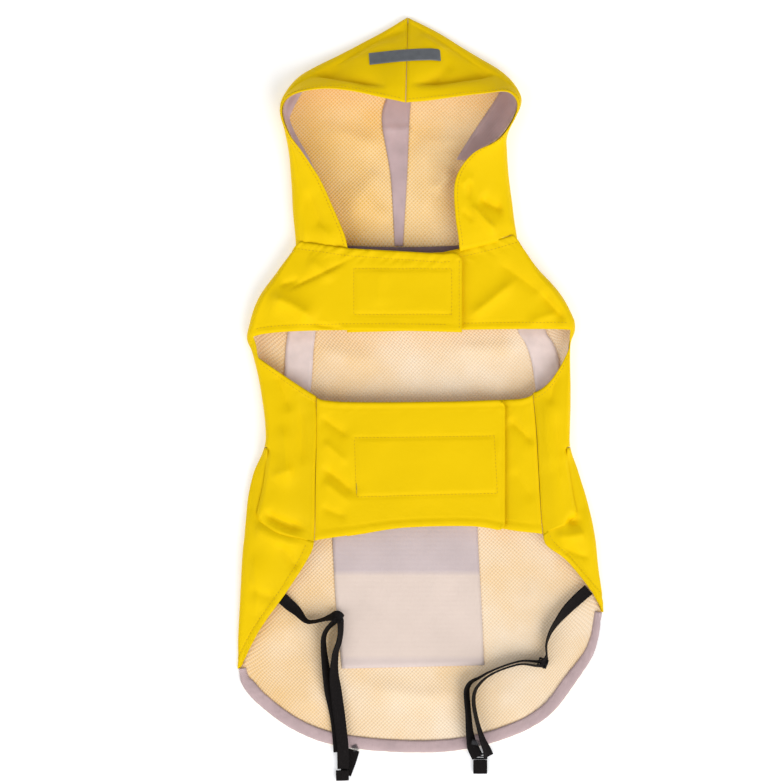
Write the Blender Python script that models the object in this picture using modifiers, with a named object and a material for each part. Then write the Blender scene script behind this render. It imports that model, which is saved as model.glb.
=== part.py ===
"""Dog raincoat with a hood, laid flat on its back with the chest and belly bands fastened.

The coat lies on Z = 0 with the hood towards +Y and the belly side up. Sizes are in millimetres until
a mesh is made. Left and right are the -X and +X sides.

Each side of the coat is one wrapped surface, read across from the back's side seam on the floor,
round the side fold, to the end of the top layer (u from 0 to 1), and down the coat from the neck
to the corner of the rear opening (v from 0 to 1). The panels are cut from it, and what lies on a
panel is the same surface moved along its normal.
"""

import math
from collections import namedtuple

import bmesh
import bpy
from mathutils import Vector
from mathutils.bvhtree import BVHTree

MM = 0.001

# Cloth thicknesses and the gaps between layers.
SHELL = 1.0
LINING = 0.8
TAPE = 0.8
ELASTIC = 1.2
CLOSURE = 1.3
GAP = 0.3
SEAM_GAP = 0.5

# How far the middle of each layer lies inside the middle of the shell.
LINING_IN = SHELL / 2 + GAP + LINING / 2
TAPE_IN = LINING_IN + LINING / 2 + GAP + TAPE / 2

# Where a cross line leaves the floor, turns at the outline, and reaches the top layer.
U_FLOOR = 0.3
U_OUTLINE = 0.425
U_TOP = 0.55
SETTLE = 0.45

# Stations down the coat, as v.
NECK, SLOT_TOP, SLOT_END, NOTCH, TROUGH, CORNER, HEM = 0.0, 0.25, 0.30, 0.50, 0.66, 1.0, 1.4

STRAP_WIDTH = 10.0
SIDE_TAPE_WIDTH = 24.0
BINDING_WIDTH = 8.5
STRIP_WIDTH = 10.3
STRIP = 0.6
SLIDER = 2.0
FOLD_CELLS = 4
HOOD_CELLS = 12
LINING_START = 0.02
EAR_LOW, EAR_HIGH = 0.2, 0.7
CROWN_EASE = 0.5  # the hood's lining hangs this much freer, where its flats are twisted
SEAM_U = 0.006  # the same gap as a share of a cross line, and down the coat
SEAM_V = 0.003

CHEST_Z = 17.5
OVERLAP_DROP = 4.5  # the under flap's middle lies this far below the upper one's

Fold = namedtuple("Fold", "v x y round lap high")
Bend = namedtuple("Bend", "v x y")
End = namedtuple("End", "v x y z")
Seam = namedtuple("Seam", "v x")
Rim = namedtuple("Rim", "v x y z")
Crown = namedtuple("Crown", "v x y")
Run = namedtuple("Run", "x y z tilt")
Point = namedtuple("Point", "x y")

# The outermost line of each side fold: its place, how far the curve reaches in on the floor (round)
# and on top (lap), and the height of the top layer there.
LEFT_FOLD = [
    Fold(0.00, -107.7, 129.9, 8.0, 6.0, 15.5),
    Fold(0.07, -124.0, 107.6, 8.5, 6.0, 16.0),
    Fold(0.15, -141.1, 82.0, 9.0, 6.0, 16.5),
    Fold(0.23, -149.0, 57.0, 9.0, 6.0, 15.0),
    Fold(0.25, -149.2, 49.5, 9.0, 6.0, 14.0),
    Fold(0.30, -144.5, 38.0, 8.0, 6.0, 13.5),
    Fold(0.38, -136.8, 1.0, 8.0, 5.0, 14.5),
    Fold(0.45, -133.6, -26.0, 8.0, 4.0, 14.5),
    Fold(0.50, -134.5, -41.6, 8.0, 3.0, 14.0),
    Fold(0.57, -144.2, -65.0, 9.0, 11.5, 12.5),
    Fold(0.66, -149.6, -92.0, 9.0, 12.0, 12.0),
    Fold(0.74, -152.5, -125.0, 8.0, 8.0, 11.5),
    Fold(0.84, -155.2, -165.0, 6.5, 7.0, 10.0),
    Fold(0.93, -157.2, -205.0, 4.0, 4.0, 6.5),
    Fold(1.00, -157.8, -232.5, 2.0, 1.5, 3.5),
]
RIGHT_FOLD = [
    Fold(0.00, 82.6, 130.5, 8.0, 6.0, 15.5),
    Fold(0.07, 98.9, 111.0, 8.5, 6.0, 16.0),
    Fold(0.15, 118.0, 90.0, 9.0, 6.0, 16.5),
    Fold(0.23, 130.6, 67.0, 9.0, 5.0, 15.0),
    Fold(0.25, 131.2, 58.0, 9.0, 4.0, 14.0),
    Fold(0.30, 127.2, 45.0, 8.0, 3.0, 13.5),
    Fold(0.38, 127.6, 6.0, 8.0, 4.0, 14.5),
    Fold(0.45, 127.2, -25.0, 8.0, 4.0, 14.5),
    Fold(0.50, 127.2, -41.6, 8.0, 3.0, 14.0),
    Fold(0.57, 134.2, -62.0, 9.0, 9.0, 12.5),
    Fold(0.66, 143.0, -92.0, 9.0, 13.0, 12.0),
    Fold(0.74, 148.4, -118.0, 8.0, 8.0, 11.5),
    Fold(0.84, 151.0, -142.0, 6.5, 6.0, 9.5),
    Fold(0.93, 153.8, -164.0, 4.0, 3.5, 6.0),
    Fold(1.00, 156.0, -184.0, 2.0, 1.0, 3.5),
]
# The chest flaps' free edges, and the points that the cross lines bend towards on their way there.
LEFT_CHEST_END = [
    End(0.00, 34.4, 122.4, CHEST_Z),
    End(0.12, 34.4, 90.0, CHEST_Z),
    End(0.25, 34.4, 56.2, CHEST_Z),
]
RIGHT_CHEST_END = [
    End(0.00, -64.0, 122.4, CHEST_Z - OVERLAP_DROP),
    End(0.12, -64.0, 90.0, CHEST_Z - OVERLAP_DROP),
    End(0.25, -64.0, 56.2, CHEST_Z - OVERLAP_DROP),
]
LEFT_CHEST_BEND = [Bend(0.00, -60.0, 128.0), Bend(0.25, -128.0, 61.0)]
RIGHT_CHEST_BEND = [Bend(0.00, 50.0, 124.5), Bend(0.25, 106.0, 60.5)]
# Behind the leg slot: the belly seam, then the rear opening's rim.
LEFT_END = [
    End(0.30, -90.3, 1.5, 14.5),
    End(0.40, -90.0, -28.0, 15.0),
    End(0.52, -91.2, -72.0, 15.0),
    End(0.66, -92.1, -122.5, 14.5),
    End(0.70, -95.5, -134.0, 14.0),
    End(0.80, -113.0, -162.0, 12.0),
    End(0.91, -139.0, -199.0, 7.5),
    End(1.00, -155.0, -230.5, 3.5),
]
RIGHT_END = [
    End(0.30, 95.2, 4.5, 14.5),
    End(0.40, 98.4, -28.0, 15.0),
    End(0.52, 100.6, -68.0, 15.0),
    End(0.66, 103.8, -116.5, 14.5),
    End(0.70, 106.5, -125.5, 14.0),
    End(0.80, 123.5, -138.5, 12.0),
    End(0.91, 143.5, -162.5, 7.5),
    End(1.00, 154.8, -181.5, 3.5),
]
LEFT_BEND = [
    Bend(0.30, -113.0, 15.5),
    Bend(0.45, -112.0, -28.0),
    Bend(0.66, -122.0, -112.0),
    Bend(0.80, -134.0, -162.0),
    Bend(1.00, -156.0, -231.0),
]
RIGHT_BEND = [
    Bend(0.30, 112.0, 9.0),
    Bend(0.45, 112.0, -25.0),
    Bend(0.66, 119.0, -104.0),
    Bend(0.80, 138.0, -140.0),
    Bend(1.00, 155.4, -182.5),
]
# The back's side seams, under their tapes.
LEFT_SEAM = [
    Seam(0.00, -89.0), Seam(0.15, -99.3), Seam(0.25, -103.6), Seam(0.38, -108.0),
    Seam(0.50, -122.0), Seam(0.66, -128.0), Seam(1.00, -120.0),
]
RIGHT_SEAM = [
    Seam(0.00, 71.8), Seam(0.15, 88.0), Seam(0.25, 95.0), Seam(0.34, 107.5),
    Seam(0.50, 115.0), Seam(0.66, 121.0), Seam(1.00, 118.0),
]
# Where the neck seam starts to climb towards each fold, and how steeply: the left one, then the right.
NECK_CLIMBS = ((-62.0, -0.10), (18.0, 0.165))
# The rounded rear hem, from its left corner to its right one.
REAR_HEM = [
    Point(-153.5, -247.2), Point(-139.0, -264.0), Point(-110.0, -285.0), Point(-75.2, -298.0),
    Point(-24.0, -304.0), Point(28.0, -303.0), Point(73.5, -292.0), Point(108.0, -274.0),
    Point(131.0, -246.0), Point(148.3, -217.2),
]

# The hood's folded outline from the neck round the ear to the crown's tip.
HOOD_LEFT_FOLD = [
    Fold(0.00, -107.4, 131.5, 8.0, 6.0, 15.5),
    Fold(0.10, -109.5, 156.0, 8.0, 7.0, 16.0),
    Fold(0.23, -111.5, 186.0, 8.0, 7.0, 17.0),
    Fold(0.34, -113.5, 211.0, 7.0, 4.0, 19.0),
    Fold(0.44, -117.0, 229.0, 6.0, 1.5, 22.0),
    Fold(0.52, -121.0, 245.0, 6.0, 1.0, 24.0),
    Fold(0.60, -118.0, 259.0, 7.0, 2.0, 22.0),
    Fold(0.70, -104.0, 275.5, 8.0, 6.0, 17.0),
    Fold(0.82, -70.0, 294.0, 7.0, 7.0, 12.0),
    Fold(0.92, -40.0, 310.0, 5.0, 6.0, 9.0),
    Fold(1.00, -12.0, 326.5, 3.5, 4.0, 7.0),
]
HOOD_RIGHT_FOLD = [
    Fold(0.00, 82.3, 132.1, 8.0, 6.0, 15.5),
    Fold(0.10, 78.5, 157.0, 8.0, 7.0, 16.0),
    Fold(0.23, 75.0, 186.0, 9.0, 7.0, 17.0),
    Fold(0.34, 72.6, 211.0, 12.0, 6.0, 19.0),
    Fold(0.44, 73.5, 227.0, 15.0, 3.0, 22.0),
    Fold(0.52, 84.5, 250.0, 17.0, 1.0, 24.0),
    Fold(0.60, 82.5, 263.0, 14.0, 2.0, 22.0),
    Fold(0.70, 69.0, 279.0, 9.0, 6.0, 17.0),
    Fold(0.82, 44.0, 294.5, 7.0, 7.0, 12.0),
    Fold(0.92, 14.0, 313.5, 5.0, 6.0, 9.0),
    Fold(1.00, -11.4, 326.5, 3.5, 4.0, 7.0),
]
# The face opening's edge from the neck up the cheek, round the ear and along the brim.
HOOD_LEFT_RIM = [
    Rim(0.00, -62.5, 130.5, 17.0),
    Rim(0.10, -73.0, 156.0, 19.0),
    Rim(0.23, -86.5, 186.0, 21.0),
    Rim(0.34, -101.0, 208.5, 24.0),
    Rim(0.44, -113.5, 226.0, 27.0),
    Rim(0.52, -119.0, 245.0, 29.0),
    Rim(0.60, -111.0, 257.0, 31.0),
    Rim(0.70, -86.0, 262.5, 32.0),
    Rim(0.82, -60.0, 260.5, 34.0),
    Rim(0.92, -35.0, 255.0, 36.0),
    Rim(1.00, -14.2, 250.5, 37.0),
]
HOOD_RIGHT_RIM = [
    Rim(0.00, 32.5, 128.0, 17.0),
    Rim(0.10, 28.5, 157.0, 19.0),
    Rim(0.23, 29.0, 187.0, 21.0),
    Rim(0.34, 43.0, 208.0, 24.0),
    Rim(0.44, 67.0, 222.0, 27.0),
    Rim(0.52, 81.0, 246.0, 29.0),
    Rim(0.60, 74.0, 259.5, 31.0),
    Rim(0.70, 52.0, 258.5, 32.0),
    Rim(0.82, 28.0, 255.5, 34.0),
    Rim(0.92, 5.0, 252.0, 36.0),
    Rim(1.00, -13.6, 250.5, 37.0),
]
# The hood's centre seam along the floor, from the neck to the tip.
HOOD_SEAM = [
    Crown(0.00, -19.0, 131.2), Crown(0.23, -18.5, 190.0), Crown(0.44, -17.0, 240.0),
    Crown(0.60, -15.5, 272.0), Crown(0.80, -13.5, 302.0), Crown(1.00, -11.7, 320.0),
]

# Outlines of the belly band between its side seams, top and bottom edges from left to right.
BELLY_TOP_EDGE = [
    Point(-89.9, 1.0), Point(-78.0, -2.0), Point(-52.0, -3.5), Point(20.0, -3.0), Point(66.0, -1.5),
    Point(80.0, -0.5), Point(94.8, 4.0),
]
BELLY_LOW_EDGE = [
    Point(-91.7, -122.5), Point(-75.0, -120.0), Point(-52.0, -116.5), Point(-14.0, -110.8),
    Point(42.0, -109.5), Point(73.0, -114.0), Point(103.4, -116.5),
]
BELLY_Z = 15.5
BELLY_SEAM_Z = 15.0
BELLY_FREE_EDGE = 71.2
BELLY_UNDER_EDGE = -64.0

# Straps: points along each flat run, and how far its width is turned up from lying flat, in degrees.
LEFT_STRAP_RUNS = {
    "leg_strap_left": [
        Run(-119.5, -171.5, 8.0, 8), Run(-114.0, -176.5, 8.0, 20), Run(-107.0, -182.5, 8.0, 45),
        Run(-99.0, -190.5, 8.0, 60), Run(-92.0, -192.0, 8.4, 50), Run(-84.0, -190.0, 8.8, 40),
        Run(-78.5, -189.5, 8.6, 38),
    ],
    "leg_strap_left_tail": [
        Run(-74.0, -196.0, 8.4, 50), Run(-79.5, -199.0, 8.8, 65), Run(-83.5, -204.0, 8.8, 65),
        Run(-84.0, -213.0, 8.4, 60), Run(-82.5, -232.0, 7.6, 50), Run(-80.0, -250.0, 5.2, 30),
        Run(-76.0, -262.0, 4.3, 8), Run(-73.2, -276.0, 4.4, 2), Run(-71.4, -292.0, 4.6, 0),
        Run(-70.6, -304.0, 4.0, 0),
    ],
    "leg_strap_left_loop": [
        Run(-69.6, -195.5, 8.6, 50), Run(-70.5, -208.0, 8.8, 60), Run(-73.5, -223.0, 8.8, 60),
        Run(-74.0, -236.0, 8.4, 50), Run(-72.5, -252.0, 7.2, 22), Run(-69.5, -275.0, 6.6, 4),
        Run(-67.8, -298.0, 6.8, 0), Run(-67.3, -311.0, 4.4, 0), Run(-67.2, -318.5, 2.8, 0),
    ],
    "leg_strap_left_return": [
        Run(-65.5, -323.5, 0.65, 0), Run(-61.5, -313.0, 0.65, 0), Run(-58.3, -302.6, 0.65, 0),
    ],
}
RIGHT_STRAP_RUNS = {
    "leg_strap_right": [
        Run(143.4, -164.2, 7.2, 0), Run(136.0, -170.5, 7.6, 12), Run(126.0, -180.0, 7.6, 30),
        Run(117.5, -190.0, 8.2, 55), Run(110.5, -200.5, 8.8, 68), Run(107.5, -212.0, 8.8, 72),
        Run(107.2, -220.0, 8.8, 74),
    ],
    "leg_strap_right_tail": [
        Run(97.5, -225.7, 8.8, 78), Run(86.5, -225.4, 8.8, 82), Run(75.7, -228.0, 8.8, 82),
        Run(65.1, -231.8, 8.8, 82), Run(56.5, -235.6, 8.8, 80), Run(49.5, -239.6, 8.8, 76),
        Run(42.5, -243.4, 8.6, 70), Run(38.9, -249.5, 8.6, 64), Run(38.9, -257.5, 8.6, 62),
        Run(40.0, -270.3, 8.5, 62), Run(41.1, -285.4, 8.0, 54), Run(42.6, -295.0, 6.8, 40),
        Run(43.5, -300.5, 5.4, 15),
    ],
    "leg_strap_right_loop": [
        Run(98.0, -229.5, 8.8, 78), Run(86.5, -228.2, 8.8, 82), Run(75.7, -230.5, 8.8, 82),
        Run(65.1, -234.4, 8.8, 82), Run(56.5, -239.0, 8.8, 80), Run(50.4, -244.2, 8.8, 76),
        Run(45.8, -251.1, 8.8, 74), Run(44.6, -259.7, 8.8, 74), Run(46.0, -270.3, 8.8, 74),
        Run(49.2, -283.2, 8.8, 72), Run(52.6, -293.9, 8.4, 62), Run(56.0, -302.0, 7.4, 48),
        Run(57.5, -307.5, 5.8, 32),
    ],
}

COLOURS = {
    "shell": ((0.896, 0.604, 0.003, 1.0), 0.55),
    "lining": ((0.90, 0.66, 0.40, 1.0), 0.85),
    "tape": ((0.44, 0.33, 0.32, 1.0), 0.7),
    "backing": ((0.60, 0.47, 0.44, 1.0), 0.75),
    "reflective": ((0.13, 0.14, 0.15, 1.0), 0.4),
    "closure": ((0.75, 0.60, 0.10, 1.0), 0.9),
    "elastic": ((0.017, 0.013, 0.012, 1.0), 0.8),
    "plastic": ((0.012, 0.012, 0.012, 1.0), 0.4),
}


# Curves through rows

def along(rows, key, place):
    """The row at a place along the rows, each value on a smooth curve through its column."""
    keys = [getattr(row, key) if key else index for index, row in enumerate(rows)]
    last = len(rows) - 1
    place = min(max(place, keys[0]), keys[last])
    index = max(i for i in range(last) if keys[i] <= place)
    span = keys[index + 1] - keys[index]
    t = (place - keys[index]) / span

    def slope(i, column):
        low, high = max(i - 1, 0), min(i + 1, last)
        return (rows[high][column] - rows[low][column]) / (keys[high] - keys[low]) * span

    values = []
    for column in range(len(rows[0])):
        a, b = rows[index][column], rows[index + 1][column]
        da, db = slope(index, column), slope(index + 1, column)
        values.append(
            (2 * t**3 - 3 * t**2 + 1) * a + (t**3 - 2 * t**2 + t) * da
            + (3 * t**2 - 2 * t**3) * b + (t**3 - t**2) * db
        )
    return type(rows[0])(*values)


def across(points, share):
    """The point at a share from 0 to 1 along an edge's points."""
    return along(points, None, share * (len(points) - 1))


def smooth(t):
    t = min(max(t, 0.0), 1.0)
    return t * t * (3 - 2 * t)


def steps(*marks):
    """Places along a direction: each mark is (place, cells up to the next mark)."""
    places = []
    for (start, cells), (end, _) in zip(marks, marks[1:]):
        places += [start + (end - start) * i / cells for i in range(cells)]
    return places + [marks[-1][0]]


BACK_ROWS = steps((NECK, 4), (SLOT_TOP, 1), (SLOT_END, 3), (NOTCH + SEAM_V, 2), (TROUGH + SEAM_V, 5),
                  (CORNER, 5), (HEM, 1))
HOOD_COLUMNS = steps((0.0, 4), (U_FLOOR, FOLD_CELLS), (U_TOP, 4), (1.0, 1))
HOOD_ROWS = steps((0.0, HOOD_CELLS), (1.0, 1))
HOOD_LINING_ROWS = [LINING_START] + HOOD_ROWS[1:-1] + [0.97]


# The wrapped sides of the coat

class Side:
    """One side's wrapped surface, from the back's side seam round the fold to the top layer's end."""

    def __init__(self, inward, fold, seam, chest, rear):
        self.inward, self.fold, self.seam, self.chest, self.rear = inward, fold, seam, chest, rear

    def floor_edge(self, v):
        """Where the floor ends and the fold's curve starts."""
        fold = along(self.fold, "v", v)
        return Vector((fold.x + self.inward * fold.round, fold.y, SHELL / 2))

    def point(self, u, v):
        if u <= U_FLOOR:
            return floor_point(self, u / U_FLOOR, v)
        bends, ends = self.chest if v <= SLOT_TOP else self.rear
        bend = along(bends, "v", v)
        fold = along(self.fold, "v", v)
        here = wrapped(u, fold, self.inward, Vector((bend.x, bend.y)), along(ends, "v", v))
        here.y += neck_rise(here.x, u) * (1 - smooth(v / 0.10))
        return here


def neck_rise(x, u):
    """How far the neck seam climbs towards each fold, on top of the chest."""
    climbs = [slope * (x - start) for start, slope in NECK_CLIMBS]
    return max(0.0, *climbs) * smooth((u - U_OUTLINE) / (U_TOP - U_OUTLINE))


def wrapped(u, fold, inward, bend, end):
    """A point round the fold or on the top layer, of one cross line."""
    edge = Vector((fold.x, fold.y))
    toward = bend - edge
    toward = toward.normalized() if toward.length > 0.01 else Vector((inward, 0.0))
    top = edge + toward * fold.lap
    low, high = SHELL / 2, fold.high
    if u < U_TOP:
        angle = math.pi * ((u - U_FLOOR) / (U_TOP - U_FLOOR) - 0.5)
        reach = 1 - math.cos(angle)
        if angle < 0:
            flat = edge + Vector((inward * fold.round, 0.0)) * reach
        else:
            flat = edge + toward * fold.lap * reach
        return Vector((flat.x, flat.y, (low + high) / 2 + (high - low) / 2 * math.sin(angle)))
    t = (u - U_TOP) / (1 - U_TOP)
    flat = top * (1 - t) ** 2 + bend * 2 * t * (1 - t) + Vector((end.x, end.y)) * t * t
    return Vector((flat.x, flat.y, high + (end.z - high) * smooth(t / SETTLE)))


def seam_share(side, v):
    """How far the side seam lies across the floor, from this side's fold (0) to the other's (1)."""
    other = RIGHT if side is LEFT else LEFT
    here, there = side.floor_edge(v), other.floor_edge(v)
    return (along(side.seam, "v", v).x - here.x) / (there.x - here.x)


def across_floor(share, v):
    """A floor point, at a share from the left fold (0) to the right one (1)."""
    above = min(v, CORNER)
    row = LEFT.floor_edge(above).lerp(RIGHT.floor_edge(above), share)
    if v <= CORNER:
        return row
    hem = across(REAR_HEM, share)
    return row.lerp(Vector((hem.x, hem.y, SHELL / 2)), (v - CORNER) / (HEM - CORNER))


def between_seams(share, v):
    """A point of the back between its side seams, at a share from the left one to the right one."""
    low = seam_share(LEFT, min(v, CORNER))
    high = 1 - seam_share(RIGHT, min(v, CORNER))
    return across_floor(low + (high - low) * share, v)


def floor_point(side, t, v):
    """A point on the floor between the side seam (t = 0) and the fold (t = 1)."""
    share = seam_share(side, min(v, CORNER)) * (1 - t)
    return across_floor(share if side is LEFT else 1 - share, v)


LEFT = Side(1, LEFT_FOLD, LEFT_SEAM, (LEFT_CHEST_BEND, LEFT_CHEST_END), (LEFT_BEND, LEFT_END))
RIGHT = Side(-1, RIGHT_FOLD, RIGHT_SEAM, (RIGHT_CHEST_BEND, RIGHT_CHEST_END), (RIGHT_BEND, RIGHT_END))


class Hood:
    """One half of the hood, from the centre seam on the floor round its outline to the face opening."""

    def __init__(self, fold, rim, inward):
        self.fold, self.rim, self.inward = fold, rim, inward

    def point(self, u, v):
        fold = along(self.fold, "v", v)
        rim = along(self.rim, "v", v)
        seam = along(HOOD_SEAM, "v", v)
        start = Vector((seam.x - self.inward * GAP / 2, seam.y))
        end = Vector((rim.x, rim.y))
        edge = Vector((fold.x, fold.y))
        below = (start - edge)
        below = below.normalized() * min(fold.round, below.length * 0.6)
        above = (end - edge)
        above = above.normalized() * min(fold.lap, above.length * 0.6)
        low, high = SHELL / 2, min(fold.high, rim.z)
        if u <= U_FLOOR:
            flat = start.lerp(edge + below, u / U_FLOOR)
            return Vector((flat.x, flat.y, low))
        if u < U_TOP:
            angle = math.pi * ((u - U_FLOOR) / (U_TOP - U_FLOOR) - 0.5)
            flat = edge + (below if angle < 0 else above) * (1 - math.cos(angle))
            flat.y += neck_rise(flat.x, u) * (1 - smooth(v / 0.16))
            return Vector((flat.x, flat.y, (low + high) / 2 + (high - low) / 2 * math.sin(angle)))
        t = (u - U_TOP) / (1 - U_TOP)
        flat = (edge + above).lerp(end, t)
        flat.y += neck_rise(flat.x, u) * (1 - smooth(v / 0.16))
        return Vector((flat.x, flat.y, high + (rim.z - high) * math.sin(t * math.pi / 2)))


HOOD_LEFT = Hood(HOOD_LEFT_FOLD, HOOD_LEFT_RIM, 1)
HOOD_RIGHT = Hood(HOOD_RIGHT_FOLD, HOOD_RIGHT_RIM, -1)


# Making the pieces

def clear_scene():
    for obj in list(bpy.data.objects):
        bpy.data.objects.remove(obj)


def material(name):
    colour, roughness = COLOURS[name]
    made = bpy.data.materials.get(name)
    if made is None:
        made = bpy.data.materials.new(name)
        made.use_nodes = True
        shader = made.node_tree.nodes["Principled BSDF"]
        shader.inputs["Base Color"].default_value = colour
        shader.inputs["Roughness"].default_value = roughness
        shader.inputs["Metallic"].default_value = 0.0
    return made


def grid(us, vs, place, keep=None, inside=0.0):
    """A bmesh grid of points place(u, v), less the cells that keep(u, v) refuses at their middles,
    moved along its normals by inside (towards the wearer's side)."""
    bm = bmesh.new()
    bmesh.ops.create_grid(bm, x_segments=len(us) - 1, y_segments=len(vs) - 1, size=1)
    where = {}
    for vert in bm.verts:
        column = round((vert.co.x + 1) / 2 * (len(us) - 1))
        row = round((vert.co.y + 1) / 2 * (len(vs) - 1))
        where[vert] = (us[column], vs[row])
    for vert, (u, v) in where.items():
        vert.co = place(u, v)
    face_up(bm)
    for vert in bm.verts:
        vert.co += vert.normal * inside
    if keep:
        dropped = []
        for face in bm.faces:
            u = sum(where[vert][0] for vert in face.verts) / 4
            v = sum(where[vert][1] for vert in face.verts) / 4
            if not keep(u, v):
                dropped.append(face)
        bmesh.ops.delete(bm, geom=dropped, context="FACES")
    return bm


def face_up(bm):
    """Turns the cloth so that its floor faces up, which is the wearer's side all round."""
    bm.normal_update()
    lowest = min(bm.faces, key=lambda face: face.calc_center_median().z)
    if lowest.normal.z < 0:
        bmesh.ops.reverse_faces(bm, faces=bm.faces)
        bm.normal_update()


def finish(bm, name, look, thickness=None):
    """A named object from a bmesh in millimetres, given its cloth's thickness about its middle."""
    bmesh.ops.scale(bm, vec=(MM, MM, MM), verts=bm.verts)
    mesh = bpy.data.meshes.new(name)
    bm.to_mesh(mesh)
    bm.free()
    mesh.shade_smooth()
    obj = bpy.data.objects.new(name, mesh)
    mesh.materials.append(material(look))
    coat.objects.link(obj)
    if thickness:
        wall = obj.modifiers.new("Cloth", "SOLIDIFY")
        wall.thickness = thickness * MM
        wall.offset = 0
        wall.use_even_offset = False
    return obj


def back_panel():
    """The back, flat on the floor, with its sides wrapped up and over behind the side panels."""
    sides = steps((0.0, 2), (U_FLOOR, FOLD_CELLS), (U_TOP, 3), (1.0, 1))
    us = [-u for u in reversed(sides)] + steps((0.125, 6), (0.875, 1)) + [1 + u for u in sides]
    vs = BACK_ROWS

    def place(u, v):
        if u <= 0:
            return LEFT.point(trimmed(-u, v), v)
        if u >= 1:
            return RIGHT.point(trimmed(u - 1, v), v)
        return between_seams(u, v)

    def trimmed(u, v):
        return u - 2 * SEAM_U if abs(u - U_TOP) < 1e-6 and v < TROUGH else u

    def keep(u, v):
        around = max(-u, u - 1)
        if around <= 0:
            return True
        if v < NOTCH:
            return False
        if v > CORNER:
            return around < U_FLOOR
        return around < U_TOP or v > TROUGH

    bm = grid(us, vs, place, keep)
    return finish(bm, "back_panel", "shell", SHELL)


def side_panel(side, name):
    """A side panel with its chest flap, and the leg slot cut out of its top layer."""
    us = steps((SEAM_U, 2), (U_FLOOR, FOLD_CELLS), (U_TOP, 7), (1.0, 1))
    vs = steps((NECK, 4), (SLOT_TOP, 1), (SLOT_END, 3), (NOTCH, 2), (TROUGH, 1))

    def keep(u, v):
        if u > U_TOP:
            return not SLOT_TOP < v < SLOT_END
        return v < NOTCH

    return finish(grid(us, vs, side.point, keep), name, "shell", SHELL)


def belly_edge_share(edge, x):
    """How far along an edge of the belly band a given x lies."""
    low, high = 0.0, 1.0
    for _ in range(30):
        middle = (low + high) / 2
        if across(edge, middle).x < x:
            low = middle
        else:
            high = middle
    return low


def belly_seam_x(side, y):
    """Where the side panel's belly seam lies at a given y."""
    above, below = SLOT_END, TROUGH
    for _ in range(30):
        middle = (above + below) / 2
        if along(side.rear[1], "v", middle).y > y:
            above = middle
        else:
            below = middle
    return along(side.rear[1], "v", above).x


def belly_height(x, under):
    """Height of a flap's middle at x: level with the side panel at its seam, then on its own level."""
    if under:
        low = BELLY_Z - OVERLAP_DROP
        return low + (BELLY_SEAM_Z - low) * smooth((x - BELLY_FREE_EDGE + 8) / 26)
    return BELLY_SEAM_Z + (BELLY_Z - BELLY_SEAM_Z) * smooth((x + 90) / 30)


def belly_flap(name, x_from, x_to, under, cells):
    """A belly flap between two places across the band; its seam end follows the side panel."""
    us = [i / cells for i in range(cells + 1)]
    vs = steps((0.0, 5), (1.0, 1))

    def u_at(edge, u):
        low = 0.0 if x_from is None else belly_edge_share(edge, x_from)
        high = 1.0 if x_to is None else belly_edge_share(edge, x_to)
        return low + (high - low) * u

    def place(u, v):
        top = across(BELLY_TOP_EDGE, u_at(BELLY_TOP_EDGE, u))
        low = across(BELLY_LOW_EDGE, u_at(BELLY_LOW_EDGE, u))
        flat = Vector((top.x, top.y)).lerp(Vector((low.x, low.y)), v)
        side = LEFT if x_from is None else RIGHT
        near = max(0.0, (1 - u if side is LEFT else u)) ** 4
        flat.x += (belly_seam_x(side, flat.y) + side.inward * SEAM_GAP - flat.x) * near
        return Vector((flat.x, flat.y, belly_height(flat.x, under)))

    return finish(grid(us, vs, place), name, "shell", SHELL)


def hood_half(half, name):
    return finish(grid(HOOD_COLUMNS, HOOD_ROWS, half.point), name, "shell", SHELL)


def back_lining():
    """The mesh lining inside the back, as far as halfway up each side fold."""
    half_up = (U_FLOOR + U_TOP) / 2
    sides = steps((0.0, 2), (U_FLOOR, FOLD_CELLS), (U_TOP, 1))
    us = [-u for u in reversed(sides)] + steps((0.125, 6), (0.875, 1)) + [1 + u for u in sides]
    vs = [LINING_START] + BACK_ROWS[1:]

    def place(u, v):
        if u <= 0:
            return LEFT.point(-u, v)
        if u >= 1:
            return RIGHT.point(u - 1, v)
        return between_seams(u, v)

    def keep(u, v):
        return max(-u, u - 1) < (half_up if v < CORNER else U_FLOOR)

    return finish(grid(us, vs, place, keep, LINING_IN), "back_lining", "lining", LINING)


def hood_lining(half, name):
    row_before = HOOD_ROWS[-2]

    def place(u, v):
        if v <= row_before:
            return half.point(u, v)
        return half.point(u, row_before).lerp(half.point(u, 1.0), (v - row_before) / (1 - row_before))

    bm = grid(HOOD_COLUMNS[:-1], HOOD_LINING_ROWS, place, inside=LINING_IN + CROWN_EASE)
    return finish(bm, name, "lining", LINING)


def hood_facing(half, name, first):
    """The facing inside the ear, from the wall's foot to just inside the face opening's edge."""
    def keep(u, v):
        return u > first and EAR_LOW < v < EAR_HIGH

    bm = grid(HOOD_COLUMNS[:-1], HOOD_LINING_ROWS, half.point, keep, TAPE_IN + CROWN_EASE)
    return finish(bm, name, "tape", TAPE)


def strip(name, look, thickness, left, right, z, cells=1):
    """A flat strip on the floor between two edges with the same number of points."""
    vs = [i for i in range(len(left))]

    def place(u, v):
        return Vector((left[v].x + (right[v].x - left[v].x) * u, left[v].y, z))

    return finish(grid(steps((0.0, cells), (1.0, 1)), vs, place), name, look, thickness)


def hood_seam_tape():
    left = [Point(-22.5, 138.0), Point(-26.5, 190.0), Point(-34.0, 238.0), Point(-29.0, 262.0),
            Point(-20.0, 300.0)]
    right = [Point(-16.5, 138.0), Point(-12.5, 190.0), Point(-10.5, 238.0), Point(-9.0, 262.0),
             Point(-9.0, 300.0)]
    return strip("hood_seam_tape", "tape", TAPE, left, right, SHELL / 2 + TAPE_IN + CROWN_EASE, 2)


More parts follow.
